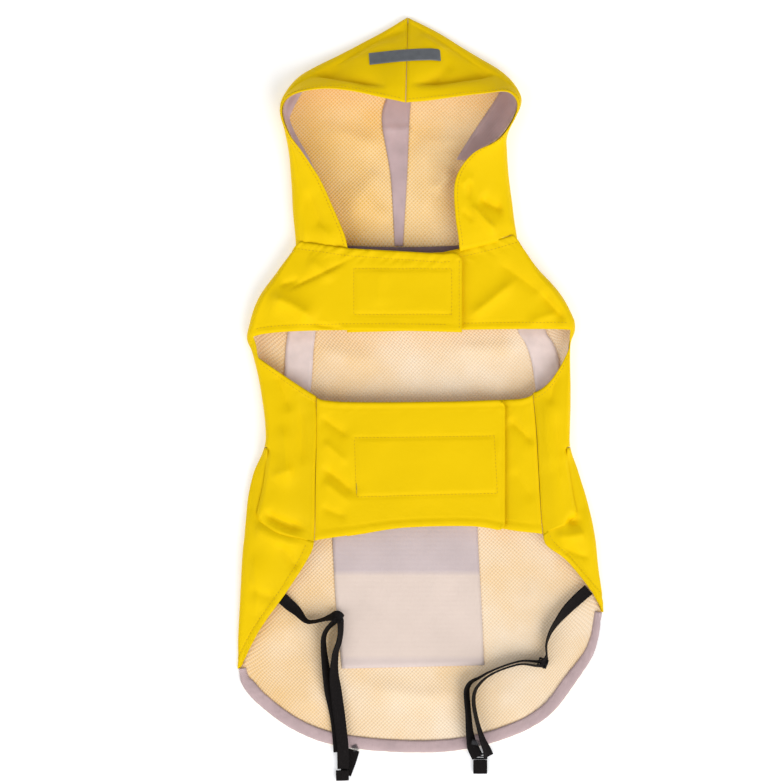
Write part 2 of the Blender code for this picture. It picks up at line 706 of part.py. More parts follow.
def side_tape(side, name):
    """The wide tape over one side seam of the back."""
    vs = steps((0.06, 5), (0.38, 1))

    def place(u, v):
        share = seam_share(side, v)
        middle = across_floor(share if side is LEFT else 1 - share, v)
        outward = -side.inward * (u - 0.5) * SIDE_TAPE_WIDTH
        room = abs(side.floor_edge(v).x - middle.x) - SEAM_GAP
        return middle - Vector((side.inward * min(-side.inward * outward, room), 0.0, 0.0))

    return finish(grid([0.0, 1.0], vs, place, inside=TAPE_IN), name, "tape", TAPE)


def neck_binding():
    """The binding over the neck seam inside the back."""
    bow = 4.0
    us = steps((0.0, 10), (1.0, 1))

    def place(u, v):
        dip = bow * 4 * u * (1 - u)
        return Vector((-92.0 + 160.0 * u, 124.5 + 8.5 * v - dip + 1.0 * u, SHELL / 2 + TAPE_IN))

    return finish(grid(us, [0.0, 1.0], place), "neck_binding", "tape", TAPE)


def rear_hem_binding():
    """The binding along the rounded rear hem, corner to corner."""
    corners = [side.floor_edge(CORNER) for side in (LEFT, RIGHT)]
    edge = [Point(corners[0].x, corners[0].y)] + REAR_HEM + [Point(corners[1].x, corners[1].y)]
    count = 3 * (len(edge) - 1)

    def place(u, v):
        here = across(edge, v)
        ahead, behind = across(edge, min(v + 0.01, 1.0)), across(edge, max(v - 0.01, 0.0))
        run = Vector((ahead.x - behind.x, ahead.y - behind.y)).normalized()
        inset = 0.6 + BINDING_WIDTH * u
        return Vector((here.x - run.y * inset, here.y + run.x * inset, SHELL / 2))

    vs = steps((0.0, count), (1.0, 1))
    bm = grid([0.0, 1.0], vs, place, inside=TAPE_IN)
    return finish(bm, "rear_hem_binding", "tape", TAPE)


def pocket_backing():
    """The panel on the inside of the back, under the belly band's rear edge and below it."""
    left = [Point(-78.0, -95.0), Point(-76.0, -133.0), Point(-73.5, -178.0), Point(-68.5, -232.5)]
    right = [Point(47.5, -95.0), Point(49.0, -133.0), Point(51.5, -178.0), Point(53.8, -229.5)]
    return strip("pocket_backing", "backing", TAPE, left, right, SHELL / 2 + TAPE_IN, 2)


def reflective_strip(hood_halves):
    """The strip across the crown, laid on the two halves of the hood."""
    trees = []
    graph = bpy.context.evaluated_depsgraph_get()
    for half in hood_halves:
        trees.append(BVHTree.FromObject(half, graph))
    start, end = Vector((-44.8, 289.0)), Vector((15.8, 293.5))
    along_strip = (end - start).normalized()
    up_strip = Vector((-along_strip.y, along_strip.x))

    def place(u, v):
        flat = start.lerp(end, u) + up_strip * (v - 0.5) * STRIP_WIDTH
        ray = Vector((flat.x * MM, flat.y * MM, 0.2))
        hits = [tree.ray_cast(ray, Vector((0, 0, -1)))[0] for tree in trees]
        top = max(hit.z for hit in hits if hit) / MM
        return Vector((flat.x, flat.y, top + 2 * GAP + STRIP / 2))

    bm = grid(steps((0.0, 10), (1.0, 1)), [0.0, 0.5, 1.0], place)
    return finish(bm, "reflective_strip", "reflective", STRIP)


def closure(name, left, right, low, high, z):
    """One half of a hook and loop closure, a flat strip between the overlapped flaps."""
    bm = grid([left, right], [low, high], lambda x, y: Vector((x, y, z)))
    return finish(bm, name, "closure", CLOSURE)


def strap_run(name, runs):
    """A flat elastic run along its points, its width turned up by each point's tilt."""
    count = 2 * (len(runs) - 1)

    def place(u, v):
        here = across(runs, v)
        ahead, behind = across(runs, min(v + 0.01, 1.0)), across(runs, max(v - 0.01, 0.0))
        run = Vector((ahead.x - behind.x, ahead.y - behind.y, ahead.z - behind.z)).normalized()
        side = run.cross(Vector((0, 0, 1))).normalized()
        tilt = math.radians(here.tilt)
        width = side * math.cos(tilt) + side.cross(run).normalized() * math.sin(tilt)
        return Vector((here.x, here.y, here.z)) + width * (u - 0.5) * STRAP_WIDTH

    bm = grid([0.0, 1.0], steps((0.0, count), (1.0, 1)), place)
    return finish(bm, name, "elastic", ELASTIC)


def slider(name, x, y, z, turn, width, length):
    """A small ladder of two slots that the elastic passes through."""
    us = [0.0, 0.17, 0.83, 1.0]
    vs = [0.0, 0.2, 0.4, 0.6, 0.8, 1.0]
    angle = math.radians(turn)

    def place(u, v):
        dx, dy = (u - 0.5) * width, (v - 0.5) * length
        return Vector((x + dx * math.cos(angle) - dy * math.sin(angle),
                       y + dx * math.sin(angle) + dy * math.cos(angle), z))

    def keep(u, v):
        return not (us[1] < u < us[2] and (vs[1] < v < vs[2] or vs[3] < v < vs[4]))

    return finish(grid(us, vs, place, keep), name, "plastic", SLIDER)


def end_tab(name, x, y, z, turn, width, length):
    """The turned end of a strap, a short thick fold of elastic."""
    us, vs = steps((-0.5, 2), (0.5, 1)), steps((-0.5, 2), (0.5, 1))
    angle = math.radians(turn)

    def place(u, v):
        dx, dy = u * width, v * length
        return Vector((x + dx * math.cos(angle) - dy * math.sin(angle),
                       y + dx * math.sin(angle) + dy * math.cos(angle), z))

    return finish(grid(us, vs, place), name, "elastic", 2 * ELASTIC)


def build():
    back_panel()
    side_panel(LEFT, "side_panel_left")
    side_panel(RIGHT, "side_panel_right")
    belly_flap("belly_flap_left", None, BELLY_FREE_EDGE, False, 7)
    belly_flap("belly_flap_right", BELLY_UNDER_EDGE, None, True, 8)
    hood_halves = [hood_half(HOOD_LEFT, "hood_left"), hood_half(HOOD_RIGHT, "hood_right")]
    back_lining()
    hood_lining(HOOD_LEFT, "hood_lining_left")
    hood_lining(HOOD_RIGHT, "hood_lining_right")
    hood_facing(HOOD_LEFT, "hood_facing_left", U_FLOOR + 0.0625)
    hood_facing(HOOD_RIGHT, "hood_facing_right", U_FLOOR)
    hood_seam_tape()
    side_tape(LEFT, "side_tape_left")
    side_tape(RIGHT, "side_tape_right")
    neck_binding()
    rear_hem_binding()
    pocket_backing()
    reflective_strip(hood_halves)
    drop = SHELL / 2 + GAP + CLOSURE / 2
    closure("chest_hook_strip", -59.5, 28.5, 71.0, 109.0, CHEST_Z - drop)
    closure("chest_loop_strip", -59.5, 28.5, 71.0, 109.0, CHEST_Z - OVERLAP_DROP + drop)
    closure("belly_hook_strip", -56.0, 58.0, -83.0, -33.0, BELLY_Z - drop)
    closure("belly_loop_strip", -56.0, 58.0, -83.0, -33.0, BELLY_Z - OVERLAP_DROP + drop)
    for name, runs in {**LEFT_STRAP_RUNS, **RIGHT_STRAP_RUNS}.items():
        strap_run(name, runs)
    slider("strap_slider_left", -71.8, -188.5, 8.0, 20, 8.5, 8.0)
    slider("strap_slider_right", 103.8, -227.0, 8.0, -20, 8.5, 8.0)
    slider("strap_keeper_right", 50.0, -307.5, 4.2, 0, 13.0, 5.0)
    end_tab("strap_end_left", -68.0, -324.2, 2.9, 2, 11.0, 9.0)
    end_tab("strap_end_right", 50.4, -316.8, 2.6, 0, 12.0, 12.0)


clear_scene()
coat = bpy.data.collections.new("dog_raincoat")
bpy.context.scene.collection.children.link(coat)
build()
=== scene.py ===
"""Looks of the dog raincoat: coated yellow cloth over a mesh lining, laid flat on its back.

The hood lies towards +Y with the belly side up. Tables and shaping are in millimetres until a mesh
is made. Left and right are the -X and +X sides. Each side of the coat is one wrapped surface, read
across from the back's side seam on the floor, round the side fold, to the end of the top layer
(u from 0 to 1), and down the coat from the neck to the corner of the rear opening (v from 0 to 1).
"""

import math
from collections import namedtuple

import bmesh
import bpy
from mathutils import Matrix, Vector, noise
from mathutils.bvhtree import BVHTree

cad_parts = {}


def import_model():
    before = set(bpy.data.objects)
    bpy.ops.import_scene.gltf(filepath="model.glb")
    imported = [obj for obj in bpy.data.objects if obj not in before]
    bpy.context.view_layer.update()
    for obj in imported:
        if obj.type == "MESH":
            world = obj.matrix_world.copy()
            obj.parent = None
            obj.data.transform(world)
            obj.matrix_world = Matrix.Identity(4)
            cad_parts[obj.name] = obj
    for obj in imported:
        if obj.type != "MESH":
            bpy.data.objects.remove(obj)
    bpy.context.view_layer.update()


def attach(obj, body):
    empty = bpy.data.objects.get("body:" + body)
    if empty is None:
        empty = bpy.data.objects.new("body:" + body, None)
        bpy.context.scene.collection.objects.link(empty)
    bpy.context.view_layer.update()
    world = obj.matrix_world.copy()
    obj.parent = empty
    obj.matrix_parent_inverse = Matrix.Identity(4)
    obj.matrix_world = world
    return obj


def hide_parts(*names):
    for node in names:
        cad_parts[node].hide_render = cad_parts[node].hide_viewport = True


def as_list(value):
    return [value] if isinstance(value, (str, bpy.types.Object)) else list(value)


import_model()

MM = 0.001
DOWN, ABOVE_ALL = Vector((0, 0, -1)), 200.0

# The solids' thicknesses, which place the layers, and the thinner cloth that is seen.
SHELL, LINING, TAPE, GAP = 1.0, 0.8, 0.8, 0.3
LINING_IN = SHELL / 2 + GAP + LINING / 2
TAPE_IN = LINING_IN + LINING / 2 + GAP + TAPE / 2
SHELL_CLOTH, LINING_CLOTH, TAPE_CLOTH = 0.7, 0.4, 0.4

# Where a cross line leaves the floor, passes the fold's outermost line and reaches the top layer, and
# how much of the top layer it takes to settle at its own height.
U_FLOOR, U_OUTLINE, U_TOP, SETTLE = 0.3, 0.425, 0.55, 0.45
# Stations down the coat, as v.
NECK, SLOT_TOP, SLOT_END, NOTCH, TROUGH, CORNER, HEM = 0.0, 0.25, 0.30, 0.50, 0.66, 1.0, 1.4

# Elastic, tapes, the strip on the crown and the turned hems.
STRAP_WIDTH, ELASTIC = 10.0, 1.0
SIDE_TAPE_WIDTH, BINDING_WIDTH, STRIP_WIDTH = 24.0, 8.5, 10.3
HEM_WIDTH, STITCH_INSET = 9.0, 7.6
# Heights of the two bands' upper flaps and how far below them the lower ones lie, and the places
# across at which the belly flaps end.
CHEST_Z, BELLY_Z, BELLY_SEAM_Z, OVERLAP_DROP = 17.5, 15.5, 15.0, 4.5
BELLY_FREE_EDGE, BELLY_UNDER_EDGE = 71.2, -64.0
# How far out and how far down the side panels lap over the back.
U_LAPPED, V_LAPPED = 0.54, 0.675
# How deep every crease is pressed, as a multiple of its own depth.
CREASE_DEPTH = 2.4


class Rows:
    """A table's rows, read at any place along their first column on a smooth curve."""

    def __init__(self, names, *rows):
        self.kind = namedtuple("Row", names)
        self.rows = [self.kind(*row) for row in rows]
        self.keyed = names.startswith("v ")
        self.known = {}

    def at(self, place):
        if place not in self.known:
            self.known[place] = self.read(place)
        return self.known[place]

    def share(self, part):
        """The row at a share from 0 to 1 along an unkeyed table."""
        return self.at(part * (len(self.rows) - 1))

    def read(self, place):
        rows = self.rows
        keys = [row.v for row in rows] if self.keyed else list(range(len(rows)))
        last = len(rows) - 1
        place = min(max(place, keys[0]), keys[last])
        index = max(i for i in range(last) if keys[i] <= place)
        span = keys[index + 1] - keys[index]
        t = (place - keys[index]) / span

        def slope(i, column):
            low, high = max(i - 1, 0), min(i + 1, last)
            return (rows[high][column] - rows[low][column]) / (keys[high] - keys[low]) * span

        values = []
        for column in range(len(rows[0])):
            a, b = rows[index][column], rows[index + 1][column]
            da, db = slope(index, column), slope(index + 1, column)
            values.append(
                (2 * t**3 - 3 * t**2 + 1) * a + (t**3 - 2 * t**2 + t) * da
                + (3 * t**2 - 2 * t**3) * b + (t**3 - t**2) * db
            )
        return self.kind(*values)


# The outermost line of each side fold: its place, how far the curve reaches in on the floor (round)
# and on top (lap), and the height of the top layer there.
LEFT_FOLD = Rows(
    "v x y round lap high",
    (0, -107.7, 129.9, 8, 6, 15.5), (0.07, -124, 107.6, 8.5, 6, 16), (0.15, -141.1, 82, 9, 6, 16.5),
    (0.23, -149, 57, 9, 6, 15), (0.25, -149.2, 49.5, 9, 6, 14), (0.3, -144.5, 38, 8, 6, 13.5),
    (0.38, -136.8, 1, 8, 5, 14.5), (0.45, -133.6, -26, 8, 4, 14.5), (0.5, -134.5, -41.6, 8, 3, 14),
    (0.57, -144.2, -65, 9, 11.5, 12.5), (0.66, -149.6, -92, 9, 12, 12),
    (0.74, -152.5, -125, 8, 8, 11.5), (0.84, -155.2, -165, 6.5, 7, 10),
    (0.93, -157.2, -205, 4, 4, 6.5), (1, -157.8, -232.5, 2, 1.5, 3.5),
)
RIGHT_FOLD = Rows(
    "v x y round lap high",
    (0, 82.6, 130.5, 8, 6, 15.5), (0.07, 98.9, 111, 8.5, 6, 16), (0.15, 118, 90, 9, 6, 16.5),
    (0.23, 130.6, 67, 9, 5, 15), (0.25, 131.2, 58, 9, 4, 14), (0.3, 127.2, 45, 8, 3, 13.5),
    (0.38, 127.6, 6, 8, 4, 14.5), (0.45, 127.2, -25, 8, 4, 14.5), (0.5, 127.2, -41.6, 8, 3, 14),
    (0.57, 134.2, -62, 9, 9, 12.5), (0.66, 143, -92, 9, 13, 12), (0.74, 148.4, -118, 8, 8, 11.5),
    (0.84, 151, -142, 6.5, 6, 9.5), (0.93, 153.8, -164, 4, 3.5, 6), (1, 156, -184, 2, 1, 3.5),
)
# The chest flaps' free edges, and the points that the cross lines bend towards on their way there.
LEFT_CHEST_END = Rows(
    "v x y z",
    (0, 34.4, 122.4, CHEST_Z), (0.12, 34.4, 90, CHEST_Z), (0.25, 34.4, 56.2, CHEST_Z),
)
RIGHT_CHEST_END = Rows(
    "v x y z",
    (0, -64, 122.4, CHEST_Z - OVERLAP_DROP), (0.12, -64, 90, CHEST_Z - OVERLAP_DROP),
    (0.25, -64, 56.2, CHEST_Z - OVERLAP_DROP),
)
LEFT_CHEST_BEND = Rows(
    "v x y",
    (0, -60, 128), (0.25, -128, 61),
)
RIGHT_CHEST_BEND = Rows(
    "v x y",
    (0, 50, 124.5), (0.25, 106, 60.5),
)
# Behind the leg slot: the belly seam, then the rear opening's rim.
LEFT_END = Rows(
    "v x y z",
    (0.3, -90.3, 1.5, 14.5), (0.4, -90, -28, 15), (0.52, -91.2, -72, 15),
    (0.66, -92.1, -122.5, 14.5), (0.7, -95.5, -134, 14), (0.8, -113, -162, 12),
    (0.91, -139, -199, 7.5), (1, -155, -230.5, 3.5),
)
RIGHT_END = Rows(
    "v x y z",
    (0.3, 95.2, 4.5, 14.5), (0.4, 98.4, -28, 15), (0.52, 100.6, -68, 15),
    (0.66, 103.8, -116.5, 14.5), (0.7, 106.5, -125.5, 14), (0.8, 123.5, -138.5, 12),
    (0.91, 143.5, -162.5, 7.5), (1, 154.8, -181.5, 3.5),
)
LEFT_BEND = Rows(
    "v x y",
    (0.3, -113, 15.5), (0.45, -112, -28), (0.66, -122, -112), (0.8, -134, -162), (1, -156, -231),
)
RIGHT_BEND = Rows(
    "v x y",
    (0.3, 112, 9), (0.45, 112, -25), (0.66, 119, -104), (0.8, 138, -140), (1, 155.4, -182.5),
)
# The back's side seams, under their tapes.
LEFT_SEAM = Rows(
    "v x",
    (0, -89), (0.15, -99.3), (0.25, -103.6), (0.38, -108), (0.5, -122), (0.66, -128), (1, -120),
)
RIGHT_SEAM = Rows(
    "v x",
    (0, 71.8), (0.15, 88), (0.25, 95), (0.34, 107.5), (0.5, 115), (0.66, 121), (1, 118),
)
# Where the neck seam starts to climb towards each fold, and how steeply: the left one, then the right.
NECK_CLIMBS = ((-62.0, -0.10), (18.0, 0.165))
# How far down the coat and up the hood the climb is felt, and the most of a cross line that one
# side of the hood's fold takes up.
COAT_NECK_END, HOOD_NECK_END, FOLD_SHARE = 0.10, 0.16, 0.6
# The rounded rear hem, from its left corner to its right one.
REAR_HEM = Rows(
    "x y",
    (-153.5, -247.2), (-139, -264), (-110, -285), (-75.2, -298), (-24, -304), (28, -303),
    (73.5, -292), (108, -274), (131, -246), (148.3, -217.2),
)

# The hood's folded outline from the neck round the ear to the crown's tip.
HOOD_LEFT_FOLD = Rows(
    "v x y round lap high",
    (0, -107.4, 131.5, 8, 6, 15.5), (0.1, -109.5, 156, 8, 7, 16), (0.23, -111.5, 186, 8, 7, 17),
    (0.34, -113.5, 211, 7, 4, 19), (0.44, -117, 229, 6, 1.5, 22), (0.52, -121, 245, 6, 1, 24),
    (0.6, -118, 259, 7, 2, 22), (0.7, -104, 275.5, 8, 6, 17), (0.82, -70, 294, 7, 7, 12),
    (0.92, -40, 310, 5, 6, 9), (1, -12, 326.5, 3.5, 4, 7),
)
HOOD_RIGHT_FOLD = Rows(
    "v x y round lap high",
    (0, 82.3, 132.1, 8, 6, 15.5), (0.1, 78.5, 157, 8, 7, 16), (0.23, 75, 186, 9, 7, 17),
    (0.34, 72.6, 211, 12, 6, 19), (0.44, 73.5, 227, 15, 3, 22), (0.52, 84.5, 250, 17, 1, 24),
    (0.6, 82.5, 263, 14, 2, 22), (0.7, 69, 279, 9, 6, 17), (0.82, 44, 294.5, 7, 7, 12),
    (0.92, 14, 313.5, 5, 6, 9), (1, -11.4, 326.5, 3.5, 4, 7),
)
# The face opening's edge from the neck up the cheek, round the ear and along the brim.
HOOD_LEFT_RIM = Rows(
    "v x y z",
    (0, -62.5, 130.5, 17), (0.1, -73, 156, 19), (0.23, -86.5, 186, 21), (0.34, -101, 208.5, 24),
    (0.44, -113.5, 226, 27), (0.52, -119, 245, 29), (0.6, -111, 257, 31), (0.7, -86, 262.5, 32),
    (0.82, -60, 260.5, 34), (0.92, -35, 255, 36), (1, -14.2, 250.5, 37),
)
HOOD_RIGHT_RIM = Rows(
    "v x y z",
    (0, 32.5, 128, 17), (0.1, 28.5, 157, 19), (0.23, 29, 187, 21), (0.34, 43, 208, 24),
    (0.44, 67, 222, 27), (0.52, 81, 246, 29), (0.6, 74, 259.5, 31), (0.7, 52, 258.5, 32),
    (0.82, 28, 255.5, 34), (0.92, 5, 252, 36), (1, -13.6, 250.5, 37),
)
# The hood's centre seam along the floor, from the neck to the tip.
HOOD_SEAM = Rows(
    "v x y",
    (0, -19, 131.2), (0.23, -18.5, 190), (0.44, -17, 240), (0.6, -15.5, 272), (0.8, -13.5, 302),
    (1, -11.7, 320),
)

# The inner edges of the facings inside the ears, upwards.
FACING_LEFT_EDGE = Rows(
    "v x",
    (176, -82.5), (205, -96), (238, -113), (249, -110), (262, -103),
)
FACING_RIGHT_EDGE = Rows(
    "v x",
    (200, 27), (212, 34), (238, 51), (252, 60.5), (264, 68),
)

# Outlines of the belly band between its side seams, top and bottom edges from left to right.
BELLY_TOP_EDGE = Rows(
    "x y",
    (-89.9, 1), (-78, -2), (-52, -3.5), (20, -3), (66, -1.5), (80, -0.5), (94.8, 4),
)
BELLY_LOW_EDGE = Rows(
    "x y",
    (-91.7, -122.5), (-75, -120), (-52, -116.5), (-14, -110.8), (42, -109.5), (73, -114),
    (103.4, -116.5),
)

# Straps: points along each flat run, and how far its width is turned up from lying flat, in degrees.
STRAP_RUNS = {
    "leg_strap_left": Rows(
        "x y z tilt",
        (-119.5, -171.5, 8, 8), (-114, -176.5, 8, 20), (-107, -182.5, 8, 45), (-99, -191, 8, 74),
        (-92, -191.6, 8.4, 80), (-84, -189.6, 8.8, 78), (-78, -187.6, 9.6, 62),
        (-72.2, -187, 10.4, 20), (-68.4, -190, 9.2, 40),
    ),
    "leg_strap_left_tail": Rows(
        "x y z tilt",
        (-72, -189.5, 8.8, 60), (-76, -193, 8.4, 66), (-80.5, -197.5, 8.8, 70),
        (-83.6, -204, 8.8, 70), (-84, -213, 8.4, 66), (-82, -232, 7.6, 54), (-79, -250, 5.2, 30),
        (-76, -262, 4.3, 8), (-73.2, -276, 4.4, 2), (-71.4, -292, 4.6, 0), (-70.6, -304, 4, 0),
    ),
    "leg_strap_left_loop": Rows(
        "x y z tilt",
        (-69.6, -190.5, 8.8, 60), (-69.4, -200, 8.8, 66), (-70.8, -209, 8.8, 66),
        (-73.8, -219, 8.8, 62), (-75, -236, 8.4, 46), (-73.2, -252, 7.2, 20), (-70.3, -275, 6.6, 4),
        (-67.8, -298, 6.8, 0), (-67.3, -311, 4.4, 0), (-67.2, -318.5, 2.8, 0),
    ),
    "leg_strap_left_return": Rows(
        "x y z tilt",
        (-65.5, -323.5, 0.65, 0), (-61.5, -313, 0.65, 0), (-58.3, -302.6, 0.65, 0),
    ),
    "leg_strap_right": Rows(
        "x y z tilt",
        (143.4, -164.2, 7.2, 0), (136, -170.5, 7.6, 12), (126, -180, 7.6, 30),
        (117.5, -190, 8.2, 55), (110.5, -200.5, 8.8, 70), (107, -211, 8.8, 80),
        (107.2, -220, 9.2, 82), (105.6, -226, 10.2, 50), (102, -228.6, 10, 30),
    ),
    "leg_strap_right_tail": Rows(
        "x y z tilt",
        (103, -226.4, 9.4, 70), (97.5, -225.7, 8.8, 78), (86.5, -225.4, 8.8, 82),
        (75.7, -228, 8.8, 82), (65.1, -231.8, 8.8, 82), (56.5, -235.6, 8.8, 80),
        (49.5, -239.6, 8.8, 76), (42.5, -243.4, 8.6, 70), (38.9, -249.5, 8.6, 64),
        (38.9, -257.5, 8.6, 62), (40, -270.3, 8.5, 62), (41.1, -285.4, 8, 54),
        (42.6, -295, 6.8, 40), (44.5, -300.5, 6.4, 12), (48, -308, 6.4, 2),
    ),
    "leg_strap_right_loop": Rows(
        "x y z tilt",
        (103, -229.2, 9.2, 70), (98, -229.5, 8.8, 78), (86.5, -228.2, 8.8, 82),
        (75.7, -230.5, 8.8, 82), (65.1, -234.4, 8.8, 82), (56.5, -239, 8.8, 80),
        (50.4, -244.2, 8.8, 76), (45.8, -251.1, 8.8, 74), (44.6, -259.7, 8.8, 74),
        (46, -270.3, 8.8, 74), (49.2, -283.2, 8.8, 72), (52.6, -293.9, 8.4, 62),
        (56, -302, 7.4, 48), (57.5, -307.5, 5.8, 32),
    ),
}

# Creases of the cloth, each along a curve from its first point to its last, bent towards the one
# between: how far it stands out (or in, when negative), how wide its flanks are, and which side of
# it is cut off short (0 for neither).
Crease = namedtuple("Crease", "x0 y0 x1 y1 x2 y2 depth width side")
CREASES = {
    "left": (
        (-60, 119, -84, 106, -118, 91, -1.1, 4, 1), (-134, 87, -108, 82, -90, 64, 2.6, 9, 0),
        (-122, 97, -113, 98, -104, 102, -1.1, 3.5, 0), (-92, 63, -78, 62, -64, 58, -1.3, 3, 1),
        (-100, 118, -84, 112, -76, 98, 0.9, 7, 0), (-30, 116, -40, 96, -36, 74, 0.5, 9, 0),
        (-128, 30, -118, 6, -112, -14, -1.2, 7, 0), (-120, -20, -113, -46, -116, -80, 1.3, 8, 0),
        (-104, 0, -101, -32, -103, -60, -0.8, 6, 0), (-130, -70, -118, -60, -108, -62, 0.8, 5, 0),
    ),
    "right": (
        (38, 67, 58, 82, 84, 104, 1.6, 6, 0), (62, 118, 84, 104, 108, 84, -1, 6, 0),
        (100, 92, 112, 76, 124, 66, -1.6, 6, 0), (88, 62, 104, 70, 120, 74, 1, 5, 0),
        (118, 28, 112, 8, 108, -8, -1, 6, 0), (104, 0, 106, -40, 112, -66, 0.9, 7, 0),
        (114, -10, 117, -40, 119, -70, -0.7, 5, 0),
    ),
    "belly": (
        (-88, -14, -76, -24, -60, -34, -1, 5, 0), (-88, -58, -70, -68, -54, -86, -1.5, 6, 0),
        (-88, -92, -76, -98, -62, -102, -0.8, 5, 0), (-86, -36, -74, -45, -62, -58, 0.9, 5, 0),
        (-86, -70, -74, -78, -60, -92, 0.8, 5, 0), (73, -17, 84, -26, 98, -41, -1.2, 5, 0),
        (76, -60, 86, -72, 96, -90, -0.6, 7, 0), (66, -30, 60, -60, 66, -100, 0.5, 7, 0),
    ),
    "rear left": (
        (-137, -96, -124, -108, -96, -112, -2.4, 5, 0),
        (-148, -104, -128, -124, -98, -126, 1.8, 8, 0),
        (-124, -120, -112, -138, -106, -148, -1, 4, 0),
        (-146, -130, -138, -160, -141, -190, 1, 7, 0),
        (-150, -160, -134, -172, -124, -170, -0.9, 5, 0),
        (-142, -64, -141, -78, -143, -92, -1, 3, 0),
    ),
    "rear right": (
        (122, -104, 134, -107, 141, -101, -1.8, 4, 0), (112, -116, 128, -122, 146, -112, 1.3, 6, 0),
        (120, -126, 132, -136, 146, -136, -0.9, 4, 0), (134, -62, 136, -78, 139, -92, -0.8, 3, 0),
    ),
    "crown left": (
        (-108, 283, -68, 275, -28, 264, -3.4, 9, -1), (-100, 288, -64, 293, -30, 287, 0.9, 8, 0),
        (-38, 308, -24, 313, -12, 316, -1.8, 3, 0), (-60, 297, -40, 298, -18, 304, 0.8, 6, 0),
    ),
    "crown right": (
        (74, 281, 26, 270, -12, 266, -3.2, 8, 1), (10, 305, 40, 293, 70, 279, 1, 7, 0),
        (-2, 312, 12, 302, 20, 292, 1.2, 6, 0), (6, 268, 22, 276, 26, 292, -1.4, 5, 0),
    ),
    "cheek left": (
        (-108, 160, -104, 146, -99, 134, 1.4, 4, 0), (-100, 180, -90, 158, -84, 138, -1.2, 7, 0),
        (-92, 150, -82, 142, -72, 134, 0.7, 4, 0),
    ),
    "cheek right": (
        (42, 168, 52, 150, 66, 142, 1.8, 3.6, 0), (48, 172, 60, 164, 74, 160, -2, 6, 0),
        (40, 190, 41, 178, 40, 168, -0.8, 2.4, 0), (32, 182, 38, 186, 46, 188, 0.8, 4, 0),
        (33, 160, 40, 158, 44, 150, -0.8, 3, 0),
    ),
    "hood back left": (
        (-30, 216, -58, 222, -92, 238, 0.6, 9, 0), (-30, 200, -56, 178, -60, 150, 1, 12, 0),
        (-24, 150, -44, 160, -66, 190, 0.8, 10, 0),
    ),
    "hood back right": (
        (-6, 226, 18, 214, 46, 226, 0.6, 9, 0), (8, 178, 20, 184, 30, 196, 1.6, 5, 0),
        (2, 225, 4, 190, 6, 150, 1, 9, 0), (30, 215, 26, 196, 12, 186, 0.8, 6, 0),
    ),
    "back": (
        (-92, 46, -60, 30, -34, 34, 0.8, 9, 0), (20, 46, 56, 38, 92, 46, 0.9, 9, 0),
        (-60, -30, 0, -46, 60, -34, 1.2, 14, 0), (-120, -130, -112, -180, -122, -222, 0.8, 9, 0),
        (-52, -244, -6, -262, 44, -252, 1, 12, 0), (96, -150, 92, -190, 112, -226, 0.9, 9, 0),
        (-104, -212, -92, -244, -96, -276, 0.7, 8, 0), (-40, 110, -10, 96, 34, 104, 0.7, 10, 0),
        (64, -246, 84, -262, 88, -280, 0.6, 7, 0),
    ),
}


def smooth(t):
    t = min(max(t, 0.0), 1.0)
    return t * t * (3 - 2 * t)


def steps(*marks):
    """Places along a direction: each mark is (place, cells up to the next mark)."""
    places = []
    for (start, cells), (end, _) in zip(marks, marks[1:]):
        places += [start + (end - start) * i / cells for i in range(cells)]
    return places + [marks[-1][0]]


def even(cells):
    """Places from 0 to 1 in equal cells."""
    return steps((0.0, cells), (1.0, 1))


def crossing(low, high, before, halvings=24):
    """The place between low and high up to which before(place) holds."""
    for _ in range(halvings):
        middle = (low + high) / 2
        if before(middle):
            low = middle
        else:
            high = middle
    return low


def blend(low, high, share):
    """A row between two rows of the same table or of two like ones."""
    return type(low)(*(a + (b - a) * share for a, b in zip(low, high)))


class Creases:
    """Creases ready to be read at a place, each a chain of short lengths with its reach."""

    LENGTHS = 7

    def __init__(self, name):
        self.chains = []
        for row in map(Crease._make, CREASES[name]):
            points = []
            for i in range(self.LENGTHS + 1):
                t = i / self.LENGTHS
                a, b, c = (1 - t) ** 2, 2 * t * (1 - t), t * t
                points.append(Vector((a * row.x0 + b * row.x1 + c * row.x2,
                                      a * row.y0 + b * row.y1 + c * row.y2)))
            reach = 4 * row.width
            xs, ys = [p.x for p in points], [p.y for p in points]
            box = (min(xs) - reach, max(xs) + reach, min(ys) - reach, max(ys) + reach)
            self.chains.append((row, points, box))

    def height(self, x, y):
        total = 0.0
        for row, points, (left, right, low, high) in self.chains:
            if not (left < x < right and low < y < high):
                continue
            best, place, hand = 1e9, 0.0, 1.0
            here = Vector((x, y))
            for i in range(self.LENGTHS):
                start, run = points[i], points[i + 1] - points[i]
                t = min(max((here - start).dot(run) / run.length_squared, 0.0), 1.0)
                away = here - start - run * t
                if away.length < best:
                    best, place = away.length, (i + t) / self.LENGTHS
                    hand = run.x * away.y - run.y * away.x
            q = best / row.width
            if row.side and hand * row.side > 0:
                q *= 3.0
            crest = math.exp(0.26 - 1.3 * math.sqrt(q * q + 0.04))
            total += CREASE_DEPTH * row.depth * crest * smooth(place * 3.5) * smooth((1 - place) * 3.5)
        return total


def swell(x, y, seed, size=0.45):
    """The slow unevenness of cloth that lies loose."""
    broad = noise.noise(Vector((x / 34, y / 27, seed)))
    small = noise.noise(Vector((x / 13, y / 17, seed + 9.3)))
    return size * (broad + 0.4 * small)


def hem(away, run, seed, width=HEM_WIDTH, raised=0.45, pucker=0.4):
    """Height of a turned and stitched edge, at a distance from it and a length along it."""
    if away < 0 or away > width + 8:
        return 0.0
    turned = raised * (1 - smooth((away - width + 1.0) / 1.6)) - 0.5 * (1 - smooth(away / 1.3))
    groove = -0.8 * math.exp(-(((away - width + 1.4) / 0.8) ** 2))
    slant = (run + 0.9 * away) / 4.4
    drawn = noise.noise(Vector((slant, away / 12, seed))) * (1 - smooth((away - width) / 8))
    return turned + groove + pucker * drawn


